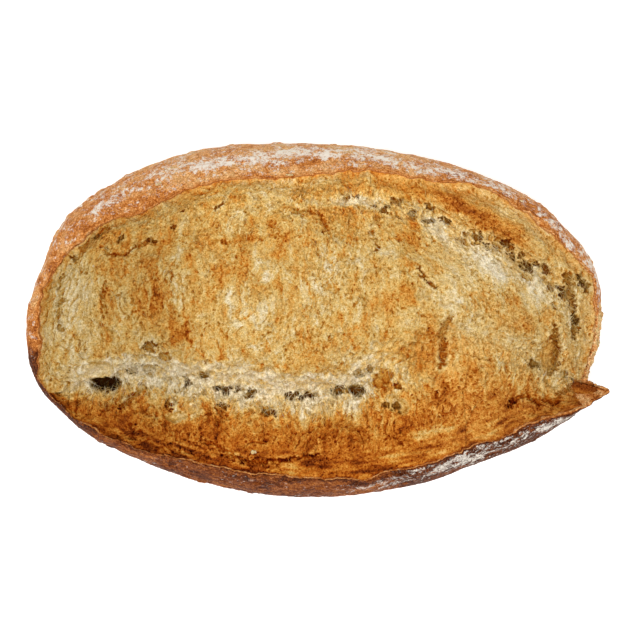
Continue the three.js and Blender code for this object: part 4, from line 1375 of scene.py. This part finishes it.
# %% Flakes
# x, y, half-length, half-width, turn.
FLAKES = [
    (-75.3, 63.6, 1.7, 1.5, 20), (-13.9, 67.6, 3.3, 1.3, -6), (-30.2, -62.1, 1.4, 0.9, 15),
    (-105.3, 24.8, 0.7, 0.6, 0), (-117.3, 36.6, 0.8, 0.6, 40), (95.6, 55.9, 0.9, 0.6, 30),
]
FLAKE_THICKNESS = 0.35
FLAKE_FOOTING = 1.2
FLAKE_RELIEF = ((0.3, 0.8, 150), (0.12, 0.4, 151))
FLAKE_TOAST = 0.12
top_x = np.concatenate([crumb_x, x])
top_y = np.concatenate([crumb_y, y])
top_z = np.concatenate([crumb_z, z])
bpy.ops.object.select_all(action="DESELECT")
flakes = []
for cx, cy, half_length, half_width, turn in FLAKES:
    near = np.hypot(top_x - cx, top_y - cy) < FLAKE_FOOTING
    rest = top_z[near].max()
    slope = [
        math.atan(np.polyfit(along_axis[near], top_z[near], 1)[0]) for along_axis in (top_x, top_y)
    ]
    at = ((cx - OUTLINE_MIDDLE[0]) * MM, (cy - OUTLINE_MIDDLE[1]) * MM, rest * MM)
    bpy.ops.mesh.primitive_ico_sphere_add(
        subdivisions=4, radius=MM, location=at, rotation=(slope[1], -slope[0], math.radians(turn))
    )
    flake = bpy.context.object
    flake.scale = (half_length, half_width, FLAKE_THICKNESS)
    bpy.ops.object.transform_apply(location=True, rotation=True, scale=True)
    flakes.append(flake)
for flake in flakes:
    flake.select_set(True)
bpy.ops.object.join()
crust_flakes = bpy.context.object
crust_flakes.name = "crust_flakes"
crust_flakes.data.name = "crust_flakes"
bpy.ops.object.shade_smooth()
flake_xyz = points_of(crust_flakes) / MM
facing = normals_of(crust_flakes)
flake_xyz += facing * layered(*flake_xyz, FLAKE_RELIEF)
flake_xyz[0] += OUTLINE_MIDDLE[0]
flake_xyz[1] += OUTLINE_MIDDLE[1]
set_points(crust_flakes, *flake_xyz)
flake_count = len(crust_flakes.data.vertices)
keep_on_points(crust_flakes, "toast", FLAKE_TOAST + 0.08 * waves(*flake_xyz, 1.5, seed=152))
keep_on_points(crust_flakes, "richness", np.ones(flake_count))
keep_on_points(crust_flakes, "brightness", np.ones(flake_count))
crumb_pieces.append(crust_flakes)
print("flakes:", len(FLAKES), "with", flake_count, "points")

# %% [markdown]
# ## Bread colours
# Both finishes share two effects, and each is made once as a node group. Speckle is the fine unevenness
# of browned flour and sugar: it adds small spots of more and less browning to a value. Light and dark
# grain makes a colour lighter and paler or darker and richer from spot to spot: partly uneven colour, and
# partly the painted light and shade of small crags.

# %% The speckle group
SOCKETS = {"Value": "NodeSocketFloat", "Color": "NodeSocketColor"}
SPECKLE_DETAIL, SPECKLE_ROUGHNESS = 4, 0.65
GRAIN_DETAIL, GRAIN_ROUGHNESS = 3, 0.6


def link(tree, start, end):
    tree.links.new(start, end)


def maths(tree, operation, *values):
    node = tree.nodes.new("ShaderNodeMath")
    node.operation = operation
    for socket, value in zip(node.inputs, values):
        if isinstance(value, (int, float)):
            socket.default_value = value
        else:
            link(tree, value, socket)
    return node.outputs[0]


def new_group(name, through, numbers):
    """A group with one value or colour going through, some numbers as inputs, and its grain as output."""
    group = bpy.data.node_groups.new(name, "ShaderNodeTree")
    face = group.interface
    face.new_socket(through, in_out="INPUT", socket_type=SOCKETS[through])
    for number, start in numbers:
        face.new_socket(number, in_out="INPUT", socket_type="NodeSocketFloat").default_value = start
    face.new_socket(through, in_out="OUTPUT", socket_type=SOCKETS[through])
    face.new_socket("Grain", in_out="OUTPUT", socket_type="NodeSocketFloat")
    return group, group.nodes.new("NodeGroupInput"), group.nodes.new("NodeGroupOutput")


def grain_noise(group, given, detail, roughness):
    where_on = group.nodes.new("ShaderNodeTexCoord")
    grain = group.nodes.new("ShaderNodeTexNoise")
    grain.inputs["Detail"].default_value = detail
    grain.inputs["Roughness"].default_value = roughness
    link(group, where_on.outputs["Object"], grain.inputs["Vector"])
    link(group, given.outputs["Scale"], grain.inputs["Scale"])
    return grain


def speckle_group():
    group, given, put = new_group("Speckle", "Value", (("Amount", 0.15), ("Scale", 1500.0)))
    grain = grain_noise(group, given, SPECKLE_DETAIL, SPECKLE_ROUGHNESS)
    centred = maths(group, "SUBTRACT", grain.outputs["Fac"], 0.5)
    more = maths(group, "MULTIPLY_ADD", centred, given.outputs["Amount"], given.outputs["Value"])
    link(group, more, put.inputs["Value"])
    link(group, grain.outputs["Fac"], put.inputs["Grain"])
    return group


SPECKLE = speckle_group()
print("node group:", SPECKLE.name)


# %% The light and dark grain group
def deepened(tree, colour, power):
    """colour raised to a power: above 1 it is darker and richer, below 1 lighter and paler."""
    node = tree.nodes.new("ShaderNodeGamma")
    link(tree, colour, node.inputs["Color"])
    link(tree, power, node.inputs["Gamma"])
    return node.outputs["Color"]


def brightened(tree, colour, factor):
    node = tree.nodes.new("ShaderNodeHueSaturation")
    link(tree, colour, node.inputs["Color"])
    link(tree, factor, node.inputs["Value"])
    return node.outputs["Color"]


# Partly uneven colour, and partly painted light and shade of small crags.
def grain_group():
    numbers = (("Brightness", 0.5), ("Richness", 0.5), ("Scale", 1500.0))
    group, given, put = new_group("Light and dark grain", "Color", numbers)
    grain = grain_noise(group, given, GRAIN_DETAIL, GRAIN_ROUGHNESS)
    swing = maths(group, "MULTIPLY_ADD", grain.outputs["Fac"], 2.0, -1.0)
    deeper = maths(group, "MULTIPLY", swing, given.outputs["Richness"])
    richer = deepened(group, given.outputs["Color"], maths(group, "SUBTRACT", 1.0, deeper))
    light = maths(group, "MULTIPLY_ADD", swing, given.outputs["Brightness"], 1.0)
    link(group, brightened(group, richer, light), put.inputs["Color"])
    link(group, grain.outputs["Fac"], put.inputs["Grain"])
    return group


GRAIN = grain_group()
print("node group:", GRAIN.name)

# %% [markdown]
# ## Material of the crumb
# The toasting on the points picks a colour from a ramp that runs from white crumb through gold and
# amber to the dark brown of the ear. Speckle breaks it up below the size of the mesh. The richness on the
# points, and more of it in pores, deepens the colour as painted shade, and the brightness on the points
# lights it as painted light. Two sizes of grain, partly painted light and shade, and a bump stand for the
# crags that are too fine to model. A little light passes through, as in real crumb.

# %% Helpers for the two materials
SPECULAR = 0.03


def ramp_node(tree, stops):
    ramp = tree.nodes.new("ShaderNodeValToRGB")
    elements = ramp.color_ramp.elements
    while len(elements) < len(stops):
        elements.new(0.5)
    for element, (at, colour) in zip(elements, stops):
        element.position = at
        element.color = (*colour, 1)
    return ramp


def point_value(tree, name):
    node = tree.nodes.new("ShaderNodeAttribute")
    node.attribute_type = "GEOMETRY"
    node.attribute_name = name
    return node.outputs["Fac"]


def speckle(tree, value, amount, scale):
    node = tree.nodes.new("ShaderNodeGroup")
    node.node_tree = SPECKLE
    node.inputs["Amount"].default_value = amount
    node.inputs["Scale"].default_value = scale
    link(tree, value, node.inputs["Value"])
    return node


def grained(tree, colour, brightness, richness, scale):
    node = tree.nodes.new("ShaderNodeGroup")
    node.node_tree = GRAIN
    node.inputs["Brightness"].default_value = brightness
    node.inputs["Richness"].default_value = richness
    node.inputs["Scale"].default_value = scale
    link(tree, colour, node.inputs["Color"])
    return node


def bump(tree, height, strength, distance):
    node = tree.nodes.new("ShaderNodeBump")
    node.inputs["Strength"].default_value = strength
    node.inputs["Distance"].default_value = distance
    link(tree, height, node.inputs["Height"])
    return node.outputs["Normal"]


def cells(tree, scale, coordinates):
    node = tree.nodes.new("ShaderNodeTexVoronoi")
    node.inputs["Scale"].default_value = scale
    link(tree, coordinates, node.inputs["Vector"])
    return node.outputs["Distance"]


print("both finishes are dull: specular", SPECULAR)

# %% Crumb material
# Amounts and scales of the effects; a scale is in features per metre.
CRUMB_SPECKLE = (0.28, 320)
CRUMB_GRAIN, CRUMB_FINE_GRAIN = (0.29, 0.26, 750), (0.43, 0.33, 1500)
PORE_SCALE, PORE_SIZE, PORE_RICHNESS, PORE_DEPTH = 600, 0.22, 0.6, 0.4
CRUMB_BUMP = (0.7, 0.0005)
CRUMB_ROUGHNESS, ROUGH_SPOTS = 0.62, 0.25
GLOW_WEIGHT, GLOW_RADIUS, GLOW_SCALE = 0.06, (1.0, 0.55, 0.25), 0.0008
CRUMB_RAMP = [
    (0.00, (0.82, 0.71, 0.50)), (0.12, (0.76, 0.60, 0.330)), (0.25, (0.70, 0.478, 0.172)),
    (0.38, (0.65, 0.366, 0.090)), (0.54, (0.59, 0.240, 0.034)), (0.70, (0.44, 0.125, 0.011)),
    (0.85, (0.25, 0.050, 0.004)), (1.00, (0.10, 0.016, 0.002)),
]


def crumb_material():
    material = bpy.data.materials.new("torn_crumb")
    material.use_nodes = True
    tree = material.node_tree
    surface = tree.nodes["Principled BSDF"]
    surface.inputs["Specular IOR Level"].default_value = SPECULAR
    surface.inputs["Subsurface Weight"].default_value = GLOW_WEIGHT
    surface.inputs["Subsurface Radius"].default_value = GLOW_RADIUS
    surface.inputs["Subsurface Scale"].default_value = GLOW_SCALE
    toasted = speckle(tree, point_value(tree, "toast"), *CRUMB_SPECKLE)
    ramp = ramp_node(tree, CRUMB_RAMP)
    link(tree, toasted.outputs["Value"], ramp.inputs["Fac"])
    spots = tree.nodes.new("ShaderNodeTexCoord").outputs["Object"]
    # Pores get a deeper colour: painted shade, with a small dip in the bump.
    pore = maths(tree, "LESS_THAN", cells(tree, PORE_SCALE, spots), PORE_SIZE)
    power = maths(tree, "MULTIPLY_ADD", pore, PORE_RICHNESS, point_value(tree, "richness"))
    own_colour = deepened(tree, ramp.outputs["Color"], power)
    middle = grained(tree, own_colour, *CRUMB_GRAIN)
    fine = grained(tree, middle.outputs["Color"], *CRUMB_FINE_GRAIN)
    lit = brightened(tree, fine.outputs["Color"], point_value(tree, "brightness"))
    link(tree, lit, surface.inputs["Base Color"])
    both = maths(tree, "ADD", fine.outputs["Grain"], middle.outputs["Grain"])
    height = maths(tree, "MULTIPLY_ADD", pore, -PORE_DEPTH, both)
    link(tree, bump(tree, height, *CRUMB_BUMP), surface.inputs["Normal"])
    rough_spots = maths(tree, "MULTIPLY_ADD", toasted.outputs["Grain"], ROUGH_SPOTS, CRUMB_ROUGHNESS)
    link(tree, rough_spots, surface.inputs["Roughness"])
    return material


torn_crumb = crumb_material()
for piece in crumb_pieces:
    piece.data.materials.append(torn_crumb)
print("crumb material:", len(CRUMB_RAMP), "colours")

# %% [markdown]
# ## Material of the skin
# The baking on the points picks the skin's brown from a ramp, and two sizes of grain mottle it. The flour
# on the points is broken into clumps and then into grains, and a soft threshold turns it into a cover of
# creamy white. Flour is dull and stands up a little, so it also raises the roughness and the bump.

# %% Skin material
SKIN_SPECKLE = (0.9, 330)
SKIN_GRAIN, SKIN_FINE_GRAIN = (0.4, 0.4, 700), (0.8, 0.5, 1400)
FLOUR_CLUMPS, FLOUR_GRAINS = (2.2, 360), (2.2, 1100)
FLOUR_FROM, FLOUR_FULL, FLOUR_COVER = 0.42, 1.05, 0.94
FLOUR_HEIGHT, FLOUR_ROUGHNESS = 0.5, 0.35
SKIN_BUMP = (0.8, 0.0005)
SKIN_ROUGHNESS = 0.58
SKIN_RAMP = [
    (0.00, (0.64, 0.44, 0.19)), (0.12, (0.72, 0.42, 0.18)), (0.30, (0.67, 0.315, 0.105)),
    (0.50, (0.54, 0.180, 0.035)), (0.70, (0.33, 0.095, 0.018)), (0.88, (0.18, 0.042, 0.008)),
    (1.00, (0.08, 0.018, 0.004)),
]
FLOUR_WHITE = (0.93, 0.86, 0.77)
# A mix node has sockets for several kinds of value. These are the places of its colour sockets.
MIX_FACTOR, MIX_FIRST, MIX_SECOND, MIX_RESULT = 0, 6, 7, 2


def skin_material():
    material = bpy.data.materials.new("baked_skin")
    material.use_nodes = True
    tree = material.node_tree
    surface = tree.nodes["Principled BSDF"]
    surface.inputs["Specular IOR Level"].default_value = SPECULAR
    baked = speckle(tree, point_value(tree, "bake"), *SKIN_SPECKLE)
    ramp = ramp_node(tree, SKIN_RAMP)
    link(tree, baked.outputs["Value"], ramp.inputs["Fac"])
    middle = grained(tree, ramp.outputs["Color"], *SKIN_GRAIN)
    fine = grained(tree, middle.outputs["Color"], *SKIN_FINE_GRAIN)
    clumps = speckle(tree, point_value(tree, "flour"), *FLOUR_CLUMPS)
    grains = speckle(tree, clumps.outputs["Value"], *FLOUR_GRAINS)
    cover = tree.nodes.new("ShaderNodeMapRange")
    cover.interpolation_type = "SMOOTHSTEP"
    cover.inputs["From Min"].default_value = FLOUR_FROM
    cover.inputs["From Max"].default_value = FLOUR_FULL
    cover.inputs["To Max"].default_value = FLOUR_COVER
    link(tree, grains.outputs["Value"], cover.inputs["Value"])
    covered = cover.outputs["Result"]
    dusted = tree.nodes.new("ShaderNodeMix")
    dusted.data_type = "RGBA"
    link(tree, covered, dusted.inputs[MIX_FACTOR])
    link(tree, fine.outputs["Color"], dusted.inputs[MIX_FIRST])
    dusted.inputs[MIX_SECOND].default_value = (*FLOUR_WHITE, 1)
    link(tree, dusted.outputs[MIX_RESULT], surface.inputs["Base Color"])
    dull = maths(tree, "MULTIPLY_ADD", covered, FLOUR_ROUGHNESS, SKIN_ROUGHNESS)
    link(tree, dull, surface.inputs["Roughness"])
    height = maths(tree, "ADD", fine.outputs["Grain"], middle.outputs["Grain"])
    height = maths(tree, "MULTIPLY_ADD", covered, FLOUR_HEIGHT, height)
    link(tree, bump(tree, height, *SKIN_BUMP), surface.inputs["Normal"])
    return material


skin.data.materials.append(skin_material())
print("skin material:", len(SKIN_RAMP), "colours")

# %% [markdown]
# ## Join the pieces to the loaf
# Every piece rides on the loaf's one body and stands for its solid.

# %% Join
for piece in (*crumb_pieces, skin):
    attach(piece, "root")
    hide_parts("loaf")
